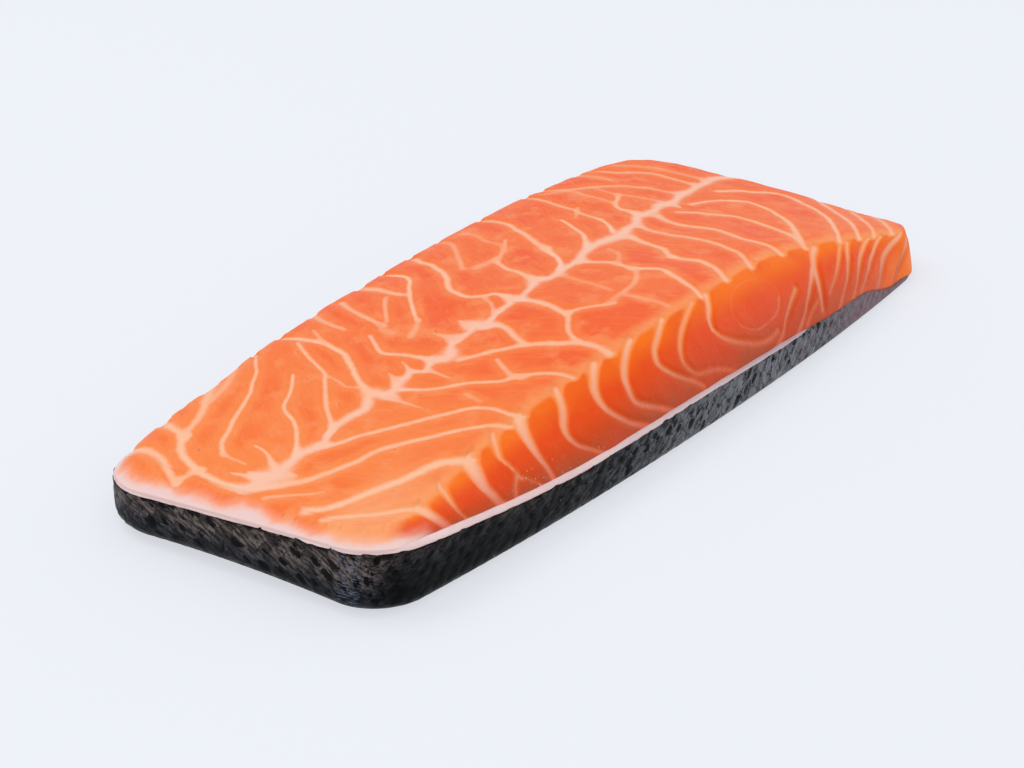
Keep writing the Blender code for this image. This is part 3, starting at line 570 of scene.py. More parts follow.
def outline(cells):
    """The plan's edge, counter-clockwise from its tail and front corner."""
    us, vs = spread(cells[0]), spread(cells[1])
    u = np.concatenate([us[:-1], np.ones(cells[1]), us[:0:-1], -np.ones(cells[1])])
    v = np.concatenate([-np.ones(cells[0]), vs[:-1], np.ones(cells[0]), vs[:0:-1]])
    return rounded(u, v)


def noise_at(points, size, seed=0.0):
    """Soft noise from about -1 to 1, with features of the given size."""
    return np.array([noise.noise(Vector(point)) for point in points / size + seed])


def curve_through(points, steps=6):
    """Points along a smooth curve through the given ones."""
    points = np.array(points, float)
    padded = np.vstack([2.0 * points[0] - points[1], points, 2.0 * points[-1] - points[-2]])
    found = []
    for a, b, c, d in zip(padded, padded[1:], padded[2:], padded[3:]):
        for t in np.arange(steps) / steps:
            found.append(0.5 * (2.0 * b + (c - a) * t + (2.0 * a - 5.0 * b + 4.0 * c - d) * t * t
                                + (3.0 * b - a - 3.0 * c + d) * t ** 3))
    return np.array(found + [points[-1]])


def strokes(lines, share=1.0):
    """Smooth curves with their half widths and strengths, from lines written as in TOP_LINES."""
    found = []
    for first_width, last_width, strength, *points in lines:
        curve = curve_through(points)
        found.append((curve, share * np.linspace(first_width, last_width, len(curve)), strength))
    return found


def line_depth(spots, curves):
    """How deep each spot lies in pale lines, from 0 to 1, how pale they are, and how far off they are.

    Where lines meet, they fill the corners between them.
    """
    clear = np.ones(len(spots))
    whole = np.full(len(spots), 1e-6)
    pale = np.zeros(len(spots))
    off = np.full(len(spots), FAR_OFF)
    for curve, widths, strength in curves:
        value = np.zeros(len(spots))
        for a, b, width in zip(curve, curve[1:], widths):
            step = b - a
            far = LINE_REACH * max(width, 1.0) + BORDER_REACH
            near = np.flatnonzero((np.abs(spots - (a + b) / 2.0) < far + np.abs(step) / 2.0).all(axis=1))
            if not len(near):
                continue
            run = np.clip((spots[near] - a) @ step / max(step @ step, 1e-9), 0.0, 1.0)
            gap = np.linalg.norm(spots[near] - a - run[:, None] * step, axis=1)
            value[near] = np.maximum(value[near], 1.0 - gap / (LINE_REACH * width))
            faint = FAINT_SHIFT * max(FAINT_BELOW - strength, 0.0)
            off[near] = np.minimum(off[near], np.maximum(gap - width, 0.0) + faint)
        clear *= 1.0 - value
        whole += value ** 2
        pale += strength * value ** 2
    return 1.0 - clear, pale / whole, off


def stronger(first, second, weight):
    """The stronger of two line fields at each spot, with the second one's weight."""
    inside, pale, off = first
    inside_2, pale_2, off_2 = second
    take = inside_2 * pale_2 * weight > inside * pale
    off_2 = np.where(weight > LEAST_WEIGHT, off_2, FAR_OFF)
    return np.where(take, inside_2 * weight, inside), np.where(take, pale_2, pale), np.minimum(off, off_2)


def slant_length(p):
    """The length of the front cut side, in millimetres."""
    reach = along(p, FRONT_SETBACK) - side_depth(p, 4)
    rise = along(p, FRONT_TOP) - fat_rim(p, -1.0)
    return np.maximum(np.hypot(reach, rise), 2.0 * MM) / MM


def place_along(x):
    """The place along the fillet, from -1 to 1, of an x in millimetres."""
    return (x * MM - MIDDLE_X) / (LENGTH / 2.0)


def front_strokes():
    """The lines of the front side, with their heights in millimetres up the side."""
    found = []
    for curve, widths, strength in strokes(FRONT_LINES, FRONT_LINE_SHARE):
        curve = curve.copy()
        curve[:, 1] *= slant_length(place_along(curve[:, 0]))
        found.append((curve, widths, strength))
    return found


def middle_strokes():
    """The pale band along the middle, with its own width at each point."""
    curve = curve_through(MIDLINE)
    return [(curve[:, :2], np.maximum(curve[:, 2], MIDLINE_LEAST), MIDLINE_STRENGTH)]


def head_lines(points):
    """Rings of pale lines on the cut head end, round a point near its middle."""
    y, z = points[:, 1] / MM, points[:, 2] / MM
    radius = np.hypot(y - HEAD_RINGS[0], (z - HEAD_RINGS[1]) * HEAD_RINGS[2])
    ring = radius / HEAD_RING_PITCH + HEAD_RING_WAVE * noise_at(points, HEAD_WAVE_SIZE, 5.0)
    gap = np.abs(ring - np.round(ring)) * HEAD_RING_PITCH
    inside = np.clip(1.0 - gap / (LINE_REACH * HEAD_RING_WIDTH), 0.0, 1.0)
    return inside, np.full(len(points), HEAD_RING_STRENGTH), gap


def keep(piece, **values):
    """Keeps values or places by name for the piece's points, to be read by its material."""
    for name, value in values.items():
        value = np.asarray(value, dtype=np.float32)
        kind, key = ("FLOAT", "value") if value.ndim == 1 else ("FLOAT_VECTOR", "vector")
        piece.data.attributes.new(name, kind, "POINT").data.foreach_set(key, value.ravel())


def quads_between(low, high):
    """Quads between two closed rings of points."""
    return np.stack([low, np.roll(low, -1), np.roll(high, -1), high], axis=1)


def new_mesh(name, points, quads, caps=()):
    """A smooth mesh object of quads, and of caps with many sides."""
    mesh = bpy.data.meshes.new(name)
    mesh.from_pydata(points.tolist(), [], quads.tolist() + [cap.tolist() for cap in caps])
    mesh.update()
    mesh.shade_smooth()
    piece = bpy.data.objects.new(name, mesh)
    bpy.context.scene.collection.objects.link(piece)
    return piece


def point_normals(mesh):
    """The mesh's normal at each of its points."""
    normals = np.empty(len(mesh.vertices) * 3, dtype=np.float32)
    mesh.vertex_normals.foreach_get("vector", normals)
    return normals.reshape(-1, 3)


def move_points(mesh, points):
    """Gives the mesh's points new places."""
    mesh.vertices.foreach_set("co", np.asarray(points, dtype=np.float32).ravel())
    mesh.update()


def flesh_points():
    """The flesh's points, with their (p, q), how far up a side they are, and which are on the top."""
    length, across = FLESH_CELLS
    grid_u, grid_v = np.meshgrid(spread(length), spread(across))
    p, q = rounded(grid_u.ravel(), grid_v.ravel())
    points = [np.stack(flesh_top(p, q), axis=1)]
    places = [np.stack([p, q, np.ones_like(p), np.ones_like(p)], axis=1)]
    edge_p, edge_q = outline(FLESH_CELLS)
    for k in range(FLESH_ROWS - 1, -1, -1):
        s = k / FLESH_ROWS
        points.append(np.stack(flesh_side(edge_p, edge_q, s), axis=1))
        places.append(np.stack([edge_p, edge_q, np.full_like(edge_p, s), np.zeros_like(edge_p)], axis=1))
    tuck = blend(FOOT_SPREAD, TUCK, between(edge_p, COVER))
    for turn in FLESH_TURNS:
        points.append(np.stack(underside(edge_p, edge_q, 4, turn, tuck), axis=1))
        places.append(np.stack([edge_p, edge_q, 0.0 * edge_p, 0.0 * edge_p], axis=1))
    points.append(np.stack(flat_underside(edge_p, edge_q, 4), axis=1))
    places.append(places[-1])
    return np.concatenate(points), np.concatenate(places)


def flesh_mesh():
    """The flesh's fine mesh, before its relief."""
    length, across = FLESH_CELLS
    points, places = flesh_points()
    row = np.arange(length)
    quads = []
    for j in range(across):
        a = j * (length + 1) + row
        quads.append(np.stack([a, a + 1, a + length + 2, a + length + 1], axis=1))
    last = across * (length + 1)
    side = np.arange(across) * (length + 1)
    above = np.concatenate([row, length + side, last + length - row, last - side])
    start = (length + 1) * (across + 1)
    for first in range(start, len(points), len(above)):
        below = first + np.arange(len(above))
        quads.append(quads_between(below, above))
        above = below
    return new_mesh("salmon_flesh", points, np.concatenate(quads), [above[::-1]]), points, places


def ridge_gap(points, places):
    """How far below the front ridge a point is, in millimetres; on the top it is negative."""
    p, q, s, top = places.T
    ridge_y = flesh_top(p, np.full_like(p, -1.0))[1]
    over = (points[:, 1] - ridge_y) / MM
    return np.where(top > 0.5, -np.maximum(over, 0.0), (1.0 - s) * slant_length(p))


def flesh_lines(points, places):
    """The field of pale lines on the flesh, the share of its front side, and the ridge gap."""
    p, q, s, top = places.T
    front_side = between(-q, SIDE_FROM) * (1.0 - between(p, FRONT_UNTIL))
    head_side = between(p, HEAD_FROM) * between(np.abs(q), HEAD_WITHIN) * (1.0 - top)
    below = ridge_gap(points, places)
    hang = (points[:, 2] - flesh_top(p, q)[2]) / MM
    spots = points[:, :2] / MM
    spots[:, 0] += LEAN_DOWN_BACK * hang * (q > 0.0) * (1.0 - top)
    field = line_depth(spots, strokes(TOP_LINES, TOP_LINE_SHARE) + strokes(SPURS) + middle_strokes())
    fade = 1.0 - (1.0 - top) * np.maximum(front_side * between(below, RIDGE_FADE), head_side)
    field = (field[0] * fade, field[1], np.where(fade > LEAST_WEIGHT, field[2], FAR_OFF))
    front_spots = np.stack([points[:, 0] / MM, slant_length(p) - below], axis=1)
    reach = np.where(top > 0.5, 1.0 - between(-below, RIDGE_FADE), front_side)
    field = stronger(field, line_depth(front_spots, front_strokes()), reach)
    back_side = between(q, SIDE_FROM) * (1.0 - top) * (1.0 - head_side) * between(p, BACK_LINES_FROM)
    back_spots = np.stack([BACK_LINES_SHIFT - points[:, 0] / MM, s * slant_length(-p)], axis=1)
    field = stronger(field, line_depth(back_spots, front_strokes()), back_side)
    field = stronger(field, head_lines(points), head_side)
    return field, front_side * (1.0 - top), below


def fibre_place(points, places):
    """Coordinates in which the fibres run along the second axis: they lean away from the middle."""
    p, q, s, top = places.T
    ridge_x, ridge_y, _ = flesh_top(p, q)
    y = np.where(top > 0.5, points[:, 1], ridge_y)
    away = np.abs(y - along(p, FLESH_MIDDLE))
    lean = np.where(y < along(p, FLESH_MIDDLE), FIBRE_LEAN[0], FIBRE_LEAN[1])
    drop = (1.0 - s) * slant_length(p) * MM * (1.0 - top)
    return np.stack([ridge_x - away * lean, ridge_x * lean + away + drop, points[:, 2]], axis=1)


def make_flesh():
    """The flesh, with grooves along its pale lines and soft flakes between them."""
    piece, points, places = flesh_mesh()
    p, q, s, top = places.T
    (inside, pale, off), front_side, below = flesh_lines(points, places)
    groove = np.exp(-(off / GROOVE_WIDTH) ** 2) * pale
    full = np.where(top > 0.5, between(np.abs(q), DEEPER_FROM), np.sin(math.pi * np.clip(s, *DEEP_ROWS)))
    relief = -groove * blend(GROOVE_ON_TOP, GROOVE_ON_SIDE, full)
    relief += noise_at(points, UNEVEN_SIZE) * UNEVEN_DEPTH
    relief += noise_at(points, RIPPLE_SIZE, 3.0) * RIPPLE_DEPTH
    shown = np.where(top > 0.5, 1.0, smooth(s / RELIEF_RISE))
    move_points(piece.data, points + point_normals(piece.data) * (relief * shown)[:, None])
    block = -ROUNDING * np.log(np.exp(-off / ROUNDING) + np.exp(-(below + RIDGE_BORDER) / ROUNDING))
    from_foot = np.linalg.norm(points - np.stack(flesh_foot(p, q), axis=1), axis=1) / MM
    keep(piece, line=inside, pale=pale, off_line=np.minimum(off, 10.0), front=front_side,
         near_front=between(-q, FRONT_HALF), block=np.clip(block, -1.0, 10.0), up=s, along=p,
         ridge_gap=np.clip(below, -20.0, 20.0), from_foot=np.where(top > 0.5, 20.0, from_foot),
         fibre=fibre_place(points, places), from_middle=(points[:, 1] - along(p, FLESH_MIDDLE)) / MM)
    return piece


def tray_rings(level, inner_level, rows, start_height, rim_height, lip, inner):
    """Rings of a tray, which is open at the head end.

    They go up its outside, over its rim from the lip's insets to the inner ones, and down inside.
    """
    p, q = outline(LAYER_CELLS)
    open_here = head_opening(p, q)
    rings = [flat_underside(p, q, level)]
    for turn in np.linspace(0.0, 1.0, ROUND_ROWS):
        rings.append(underside(p, q, level, turn))
    wall_x, wall_y, wall_z = rings[-1]
    floor_top = floor_depth(inner_level)
    rim = np.maximum(blend(rim_height(p, q), floor_top, open_here), wall_z + LEAST_WALL)
    start = np.maximum(np.minimum(start_height(p, q), rim - LEAST_STEP), wall_z + LEAST_WALL / 2.0)
    for t in np.linspace(0.0, 1.0, rows)[1:]:
        rings.append((wall_x, wall_y, blend(wall_z, start, t)))
    lip_x, lip_y = plan(p, q, **lip(p))
    lip_x, lip_y = blend(wall_x, lip_x, 1.0 - open_here), blend(wall_y, lip_y, 1.0 - open_here)
    inner_x, inner_y = plan(p, q, **{**inner(p, q), "head": layer_insets(p, level)["head"]})
    for angle in np.linspace(0.0, math.pi / 2.0, ROUND_ROWS):
        t = 1.0 - math.cos(angle)
        z = blend(start, rim, math.sin(angle))
        rings.append((blend(lip_x, inner_x, t), blend(lip_y, inner_y, t), z))
    inner_z = np.minimum(floor_top + arch(p, q), rim - LEAST_STEP)
    for t in INNER_ROWS:
        rings.append((inner_x, inner_y, blend(rim, inner_z, t)))
    rings.append(flat_underside(p, q, inner_level))
    return p, q, np.array([np.stack(ring, axis=1) for ring in rings])


def make_tray(name, *shape):
    """A tray of the fat or the skin as a fine mesh."""
    p, q, rings = tray_rings(*shape)
    places = np.arange(rings.shape[0] * len(p)).reshape(-1, len(p))
    quads = np.concatenate([quads_between(low, high) for low, high in zip(places, places[1:])])
    return new_mesh(name, rings.reshape(-1, 3), quads, [places[0][::-1], places[-1]]), p, q, rings


def fat_lip(p):
    """The insets of the fat's outer edge, which laps over the skin's rim until the flesh covers both."""
    side = blend(LIP_INSET, side_depth(p, 2), between(p, COVER))
    return {"front": side, "back": side, "tail": side, "head": layer_insets(p, 2)["head"]}


def fat_inner(p, q):
    """The insets of the fat's inner wall, which the flesh's foot just covers."""
    foot = foot_insets(p, q)
    least = fat_lip(p)["front"] + LIP_LEAST
    return {side: np.maximum(foot[side] + LAYER_OVERLAP, least) for side in ("front", "back", "tail")}


def make_fat():
    """The fat layer, with a soft rounded rim."""
    piece, p, q, rings = make_tray(
        "salmon_fat_layer", 2, 4, FAT_ROWS, lambda p, q: skin_rim(p, q) - LIP_DEPTH,
        lambda p, q: fat_top(p, q) - TAIL_SINK * between(p, TAIL_EASE), fat_lip, fat_inner)
    points = rings.reshape(-1, 3)
    relief = noise_at(points, FAT_WAVE_SIZE, 7.0) * FAT_WAVE_DEPTH * (points[:, 2] > FAT_WAVE_ABOVE)
    move_points(piece.data, points + point_normals(piece.data) * relief[:, None])
    keep(piece, toward_head=np.tile(smooth((p + 1.0) / 2.0), len(rings)))
    return piece


def skin_edge(p, q):
    """The skin's rim with its small uneven notches, which fade out towards the head."""
    x, y = plan(p, q)
    wave = noise_at(np.stack([x, y, 0.0 * x], axis=1), RIM_WAVE_SIZE, 9.0)
    return skin_rim(p, q) + wave * RIM_WAVE * (1.0 - between(p, WAVE_FADE))


def streak_place(s, h):
    """Coordinates along and across the skin's streaks, which lean more towards the head."""
    steps = np.linspace(*SKIN_SPAN)
    lean = np.radians(np.interp(steps, *STREAK_LEAN))
    here = np.interp(s, steps, lean)
    step = steps[1] - steps[0]
    first = np.interp(s, steps, np.cumsum(np.cos(lean)) * step)
    second = np.interp(s, steps, np.cumsum(np.sin(lean)) * step)
    return np.stack([first + h * np.sin(here), h * np.cos(here) - second, 0.0 * s], axis=1)


def scale_count(s):
    """How many scales lie between the tail corner and a place on the skin."""
    steps = np.linspace(*SKIN_SPAN)
    counts = np.concatenate([[0.0], np.cumsum(np.diff(steps) / np.interp(steps[1:], *SCALE_PITCH))])
    return np.interp(s, steps, counts) - np.interp(0.0, steps, counts)


def scale_grid(s, h):
    """A place on the skin in the slanted grid of its scales, with a scale round each whole number."""
    spots = np.stack([s, h, 0.0 * s], axis=1)
    u, v = scale_count(s), h / np.interp(s, *SCALE_ROWS) / 2.0
    for share, size, seed in SHIFTS_ALONG:
        u = u + share * noise_at(spots, size, seed)
    for share, size, seed in SHIFTS_UP:
        v = v + share * noise_at(spots, size, seed)
    return u + v, u - v


def make_skin():
    """The skin, with overlapping scales on its outside."""
    piece, p, q, rings = make_tray(
        "salmon_skin", 0, 1, SKIN_ROWS, lambda p, q: skin_edge(p, q) - SKIN_RIM_ROUND, skin_edge,
        lambda p: layer_insets(p, 0), lambda p, q: layer_insets(p, 1, LAYER_OVERLAP))
    wall = rings[ROUND_ROWS]
    steps = np.linalg.norm(np.roll(wall, -1, axis=0)[:, :2] - wall[:, :2], axis=1)
    s = np.concatenate([[0.0], np.cumsum(steps)[:-1]])
    s = np.where(s > np.sum(steps) * AROUND_TO_BACK, s - np.sum(steps), s)
    up = np.cumsum(np.linalg.norm(np.diff(rings, axis=0), axis=2), axis=0)
    s, h = np.tile(s, len(rings)), np.concatenate([-up[:1], up - up[0]]).ravel()
    first, second = scale_grid(s, h)
    a, b = first - np.round(first), second - np.round(second)
    points = rings.reshape(-1, 3)
    row = np.repeat(np.arange(len(rings)), len(p))
    outside = (row > 1) & (row < len(rings) - len(INNER_ROWS) - 3)
    relief = -(a + b) * 0.6 - 1.6 * (a - b) ** 2 - 0.5 * (a + b) ** 2
    move = relief * SCALE_RELIEF * outside * between(points[:, 2], RELIEF_FROM)
    move *= 1.0 - between(np.tile(p, len(rings)), HANG)
    move = np.where(points[:, 2] < RELIEF_FROM[0], np.minimum(move, 0.0), move)
    move_points(piece.data, points + point_normals(piece.data) * move[:, None])
    keep(piece, scale_grid=np.stack([first, second, 0.0 * s], axis=1), streak=streak_place(s, h),
         skin_place=np.stack([s, h, 0.0 * s], axis=1), height=points[:, 2] / MM,
         below_rim=np.tile(skin_rim(p, q), len(rings)) - points[:, 2],
         run=np.where(s > TAIL_MIDDLE, s, 2.0 * TAIL_MIDDLE - s) / MM)
    return piece


def srgb(red, green, blue):
    """A colour as a shader takes it, from its 0 to 255 screen values."""
    parts = [value / 255.0 for value in (red, green, blue)]
    return tuple(c / 12.92 if c <= 0.04045 else ((c + 0.055) / 1.055) ** 2.4 for c in parts) + (1.0,)


class Value:
    """A number on its way through a material. Sums and products with it become nodes."""

    def __init__(self, surface, socket):
        self.surface, self.socket = surface, socket

    def __add__(self, other):
        return self.surface.math("ADD", self, other)

    def __mul__(self, other):
        return self.surface.math("MULTIPLY", self, other)

    def __neg__(self):
        return self * -1.0

    def __sub__(self, other):
        return self + -other


class Surface:
    """A material, with short names for its nodes and the colour painted so far."""

    def __init__(self, name):
        self.material = bpy.data.materials.new(name)
        self.material.use_nodes = True
        self.tree = self.material.node_tree
        self.shader = self.tree.nodes["Principled BSDF"]
        self.colour = None

    def put(self, socket, value):
        """Links a socket, or sets it to a number, a place or a colour given by its screen values."""
        value = value.socket if isinstance(value, Value) else value
        if isinstance(value, bpy.types.NodeSocket):
            self.tree.links.new(value, socket)
        else:
            socket.default_value = srgb(*value) if socket.type == "RGBA" else value

    def node(self, kind, sockets=(), **settings):
        made = self.tree.nodes.new(kind)
        for name, value in settings.items():
            setattr(made, name, value)
        for key, value in dict(sockets).items():
            self.put(made.inputs[key], value)
        return made

    def math(self, operation, *values):
        made = self.node("ShaderNodeMath", dict(enumerate(values)), operation=operation)
        return Value(self, made.outputs[0])

    def vector(self, operation, place, other):
        return self.node("ShaderNodeVectorMath", {0: place, 1: other}, operation=operation).outputs[0]

    def value(self, name):
        return Value(self, self.node("ShaderNodeAttribute", attribute_name=name).outputs["Fac"])

    def place(self, name):
        return self.node("ShaderNodeAttribute", attribute_name=name).outputs["Vector"]

    def part(self, colour, index):
        return Value(self, self.node("ShaderNodeSeparateColor", {0: colour}).outputs[index])

    def noise(self, place, scale, detail=2.0, roughness=0.5, output="Fac"):
        sockets = {"Vector": place, "Scale": scale, "Detail": detail, "Roughness": roughness}
        return Value(self, self.node("ShaderNodeTexNoise", sockets).outputs[output])

    def cells(self, place, scale=1.0, randomness=1.0, output="Distance", **settings):
        sockets = {"Vector": place, "Scale": scale, "Randomness": randomness}
        return Value(self, self.node("ShaderNodeTexVoronoi", sockets, **settings).outputs[output])

    def ramp(self, value, low, high, start=0.0, end=1.0):
        sockets = {"Value": value, "From Min": low, "From Max": high, "To Min": start, "To Max": end}
        made = self.node("ShaderNodeMapRange", sockets, interpolation_type="SMOOTHSTEP")
        return Value(self, made.outputs["Result"])

    def fall(self, value, low, high):
        return self.ramp(value, low, high, 1.0, 0.0)

    def mix(self, amount, a, b):
        made = self.node("ShaderNodeMix", data_type="RGBA")
        for key, value in (("Factor", amount), (6, a), (7, b)):
            self.put(made.inputs[key], value)
        return made.outputs[2]

    def paint(self, amount, colour):
        """Lays a colour over the colour painted so far."""
        self.colour = self.mix(amount, self.colour, colour)

    def bump(self, height, strength, distance):
        sockets = {"Height": height, "Strength": strength, "Distance": distance}
        self.put(self.shader.inputs["Normal"], self.node("ShaderNodeBump", sockets).outputs["Normal"])

    def finish(self, piece, **sockets):
        """Gives the piece this material, with its painted colour."""
        for name, value in dict(base_color=self.colour, **sockets).items():
            self.put(self.shader.inputs[name.replace("_", " ").title().replace("Ior", "IOR")], value)
        piece.data.materials.clear()
        piece.data.materials.append(self.material)


def flesh_top_colour(it, place, near_front):
    """The top's orange: deeper between the pale lines, and paler near the tail and the front ridge."""
    along_it, ridge = it.value("along"), it.value("ridge_gap")
    patches, cloud = it.noise(place, 60.0), it.noise(place, 150.0, 3.0)
    to_head = it.ramp(along_it, -0.9, -0.1)
    deep = it.mix(to_head, (252, 118, 50), (248, 98, 44))
    it.colour = it.mix(to_head, (254, 138, 68), (252, 121, 58))
    it.paint(it.ramp(it.value("off_line"), 0.8, 3.6) * it.ramp(patches, 0.36, 0.60, 0.3, 1.0), deep)
    it.paint(it.ramp(cloud, 0.50, 0.70, 0.0, 0.45), (255, 154, 94))
    it.paint(it.ramp(along_it, -0.95, -0.68, 0.55, 0.0) * near_front, (255, 176, 122))
    it.paint(it.ramp(ridge, -4.0, -0.3) * near_front * 0.6, (255, 166, 104))


def flesh_side_shaded_colour(it, place):
    """Front side orange: painted shade, brown above the fat, and a painted amber glow atop its blocks."""
    along_it, up = it.value("along"), it.value("up")
    # Painted shade: the side's orange darkens to brown towards the fat.
    side = it.mix(it.ramp(up, 0.02, 0.36), (178, 74, 34), (210, 70, 12))
    side = it.mix(it.ramp(along_it, 0.45, 0.95), side, (244, 104, 24))
    side = it.mix(it.ramp(up, 0.24, 0.60), side, (236, 76, 4))
    # Painted glow: bright amber at the top of the side's blocks.
    side = it.mix(it.ramp(up, 0.55, 0.92), side, (254, 116, 2))
    side = it.mix(it.ramp(it.noise(place, 60.0), 0.42, 0.64, 0.0, 0.35), side, (228, 58, 6))
    side = it.mix(it.ramp(along_it, 0.7, 0.95, 0.0, 0.6), side, (255, 128, 16))
    # Beside the lines: the same painted shade low on the side, and painted glow high up.
    halo = it.mix(it.ramp(up, 0.15, 0.85), (212, 88, 40), (255, 144, 62))
    return it.mix(it.ramp(it.value("block"), -0.1, 0.9), halo, side)


def paint_tail_edge(it, place):
    """The pale ragged band where the flesh runs out into fat at the tail end."""
    fingers = it.noise(it.vector("MULTIPLY", place, (0.6, 1.0, 1.0)), 110.0, 3.0, 0.55) - 0.5
    ragged = it.value("from_foot") + fingers * 10.0
    at_tail = it.fall(it.value("along"), -0.93, -0.84)
    it.paint(it.fall(ragged, 1.2, 7.5) * at_tail * 0.85, (251, 190, 166))
    it.paint(it.fall(ragged, 0.6, 4.2) * at_tail * 0.92, (239, 206, 200))


def paint_bubble_highlights(it, place, front):
    """Painted highlights: small bright dots for a few tiny wet drops low on the front side, near the tail."""
    along_it, up = it.value("along"), it.value("up")
    bubble_highlights = it.fall(it.cells(place, 900.0), 0.10, 0.22) * it.ramp(it.noise(place, 140.0), 0.47, 0.54)
    bubble_highlights = bubble_highlights * (front * it.fall(up, 0.28, 0.42))
    bubble_highlights = bubble_highlights * (it.ramp(along_it, -0.66, -0.58) * it.fall(along_it, -0.42, -0.32))
    # Painted highlights where the drops catch the light.
    it.paint(bubble_highlights * 0.7, (250, 214, 200))


def flesh_material(piece):
    """Moist orange flesh with pale lines and fine fibres."""
    it = Surface("moist_salmon_flesh")
    place = it.node("ShaderNodeTexCoord").outputs["Object"]
    fibre = it.place("fibre")
    front, near_front, up = it.value("front"), it.value("near_front"), it.value("up")
    along_it, block, ridge = it.value("along"), it.value("block"), it.value("ridge_gap")
    fine = it.noise(it.vector("MULTIPLY", fibre, (1.0, 0.14, 1.0)), 2300.0, 3.0, 0.6)
    streaks = it.noise(it.vector("MULTIPLY", fibre, (1.0, 0.10, 1.0)), 900.0)
    cloud = it.noise(place, 150.0, 3.0)
    flesh_top_colour(it, place, near_front)
    reach = it.ramp(ridge + (cloud - 0.5) * 2.2, -1.8, 1.4)
    shown = reach * near_front * it.ramp(block, -0.8, 0.8)
    shown = it.math("MAXIMUM", shown, front * it.ramp(ridge, 0.3, 1.8))
    it.paint(shown * it.ramp(along_it, -0.97, -0.91), flesh_side_shaded_colour(it, place))
    it.paint(it.ramp(fine, 0.45, 0.75, 0.0, 0.16), (232, 80, 30))
    it.paint(it.ramp(streaks, 0.54, 0.72, 0.0, 0.18) * it.ramp(front, 0.0, 1.0, 1.0, 0.25), (255, 160, 104))
    marks = it.ramp(it.noise(it.vector("MULTIPLY", fibre, (1.0, 0.16, 1.0)), 1500.0, 1.0), 0.68, 0.78)
    it.paint(marks * it.ramp(cloud, 0.50, 0.62) * 0.45, (190, 56, 22))

    wobble = (it.noise(place, 480.0, 3.0, 0.6) - 0.5) * 0.34 + (fine - 0.5) * 0.24
    line = it.ramp(it.value("line") + wobble, 0.38, 0.94) * it.value("pale")
    # Painted shade: the pale lines are darker on the front side than on the top, and darkest low on that side.
    pale = it.mix(it.ramp(up, 0.0, 0.8), (218, 112, 84), (246, 172, 142))
    pale = it.mix(front * it.ramp(ridge, -1.0, 5.0), (255, 192, 152), pale)
    middle = it.math("ABSOLUTE", it.value("from_middle"))
    it.paint(line, it.mix(it.ramp(middle, 1.5, 7.0, 0.7, 0.0), pale, (253, 204, 180)))
    paint_tail_edge(it, place)
    paint_bubble_highlights(it, place, front)

    grain = fine * 0.5 + it.noise(place, 900.0, 3.0) * 0.6
    it.bump(grain + line * -0.25, 0.3, 0.0003)
    it.finish(piece, roughness=it.ramp(grain, 0.3, 0.8, 0.34, 0.54), specular_ior_level=0.15,
              subsurface_weight=0.12, subsurface_scale=0.0025, subsurface_radius=(1.0, 0.35, 0.18))


def fat_material(piece):
    """Moist fat: pale pink near the tail, greyer along the sides."""
    it = Surface("moist_pale_fat")
    place = it.node("ShaderNodeTexCoord").outputs["Object"]
    mottle = it.noise(place, 300.0, 3.0)
    it.colour = it.mix(it.ramp(it.noise(place, 90.0), 0.4, 0.65), (235, 200, 195), (240, 209, 203))
    it.paint(it.value("toward_head"), (176, 154, 164))
    it.paint(it.ramp(mottle, 0.5, 0.75, 0.0, 0.35), (206, 178, 184))
    it.bump(it.noise(place, 800.0, 3.0), 0.25, 0.0003)
    it.finish(piece, roughness=it.ramp(mottle, 0.3, 0.7, 0.28, 0.44), specular_ior_level=0.4,
              subsurface_weight=0.15, subsurface_scale=0.0015)


def skin_marks(it, streak, shift, run):
    """The black marks of the skin, stretched along its streaks."""
    place = it.vector("ADD", it.vector("MULTIPLY", shift, (0.0018, 0.0018, 0.0)), streak)
    place = it.vector("MULTIPLY", place, (240.0, 430.0, 0.0))
    chance = it.part(it.cells(place, randomness=0.7, output="Color"), 0)
    size = it.ramp(chance, 0.1, 0.9, -0.16, 0.12) + it.ramp(run, 10.0, 110.0, 0.08, 0.0)
    return it.fall(it.cells(place, randomness=0.7) - size, 0.24, 0.36)


def skin_grey(it, tone, run, height, below):
    """The greys of the skin before its marks: brownish at the tail and lighter towards the head."""
    at_tail = it.mix(it.ramp(height, 5.0, 13.0), (60, 62, 68), (118, 105, 99))
    at_front = it.mix(it.ramp(run, 20.0, 130.0), (54, 56, 60), (122, 123, 127))
    it.colour = it.mix(it.ramp(run, -6.0, 6.0), at_tail, at_front)
    it.paint(it.fall(below, 0.0, 0.005) * it.fall(run, 40.0, 110.0) * 0.5, (96, 80, 74))
    it.paint(it.ramp(tone, 0.70, 0.95) * it.ramp(run, 30.0, 90.0) * 0.55, (122, 108, 114))
    it.paint(it.fall(tone, 0.15, 0.5) * it.ramp(run, 60.0, 130.0, 0.6, 0.3), (20, 21, 24))


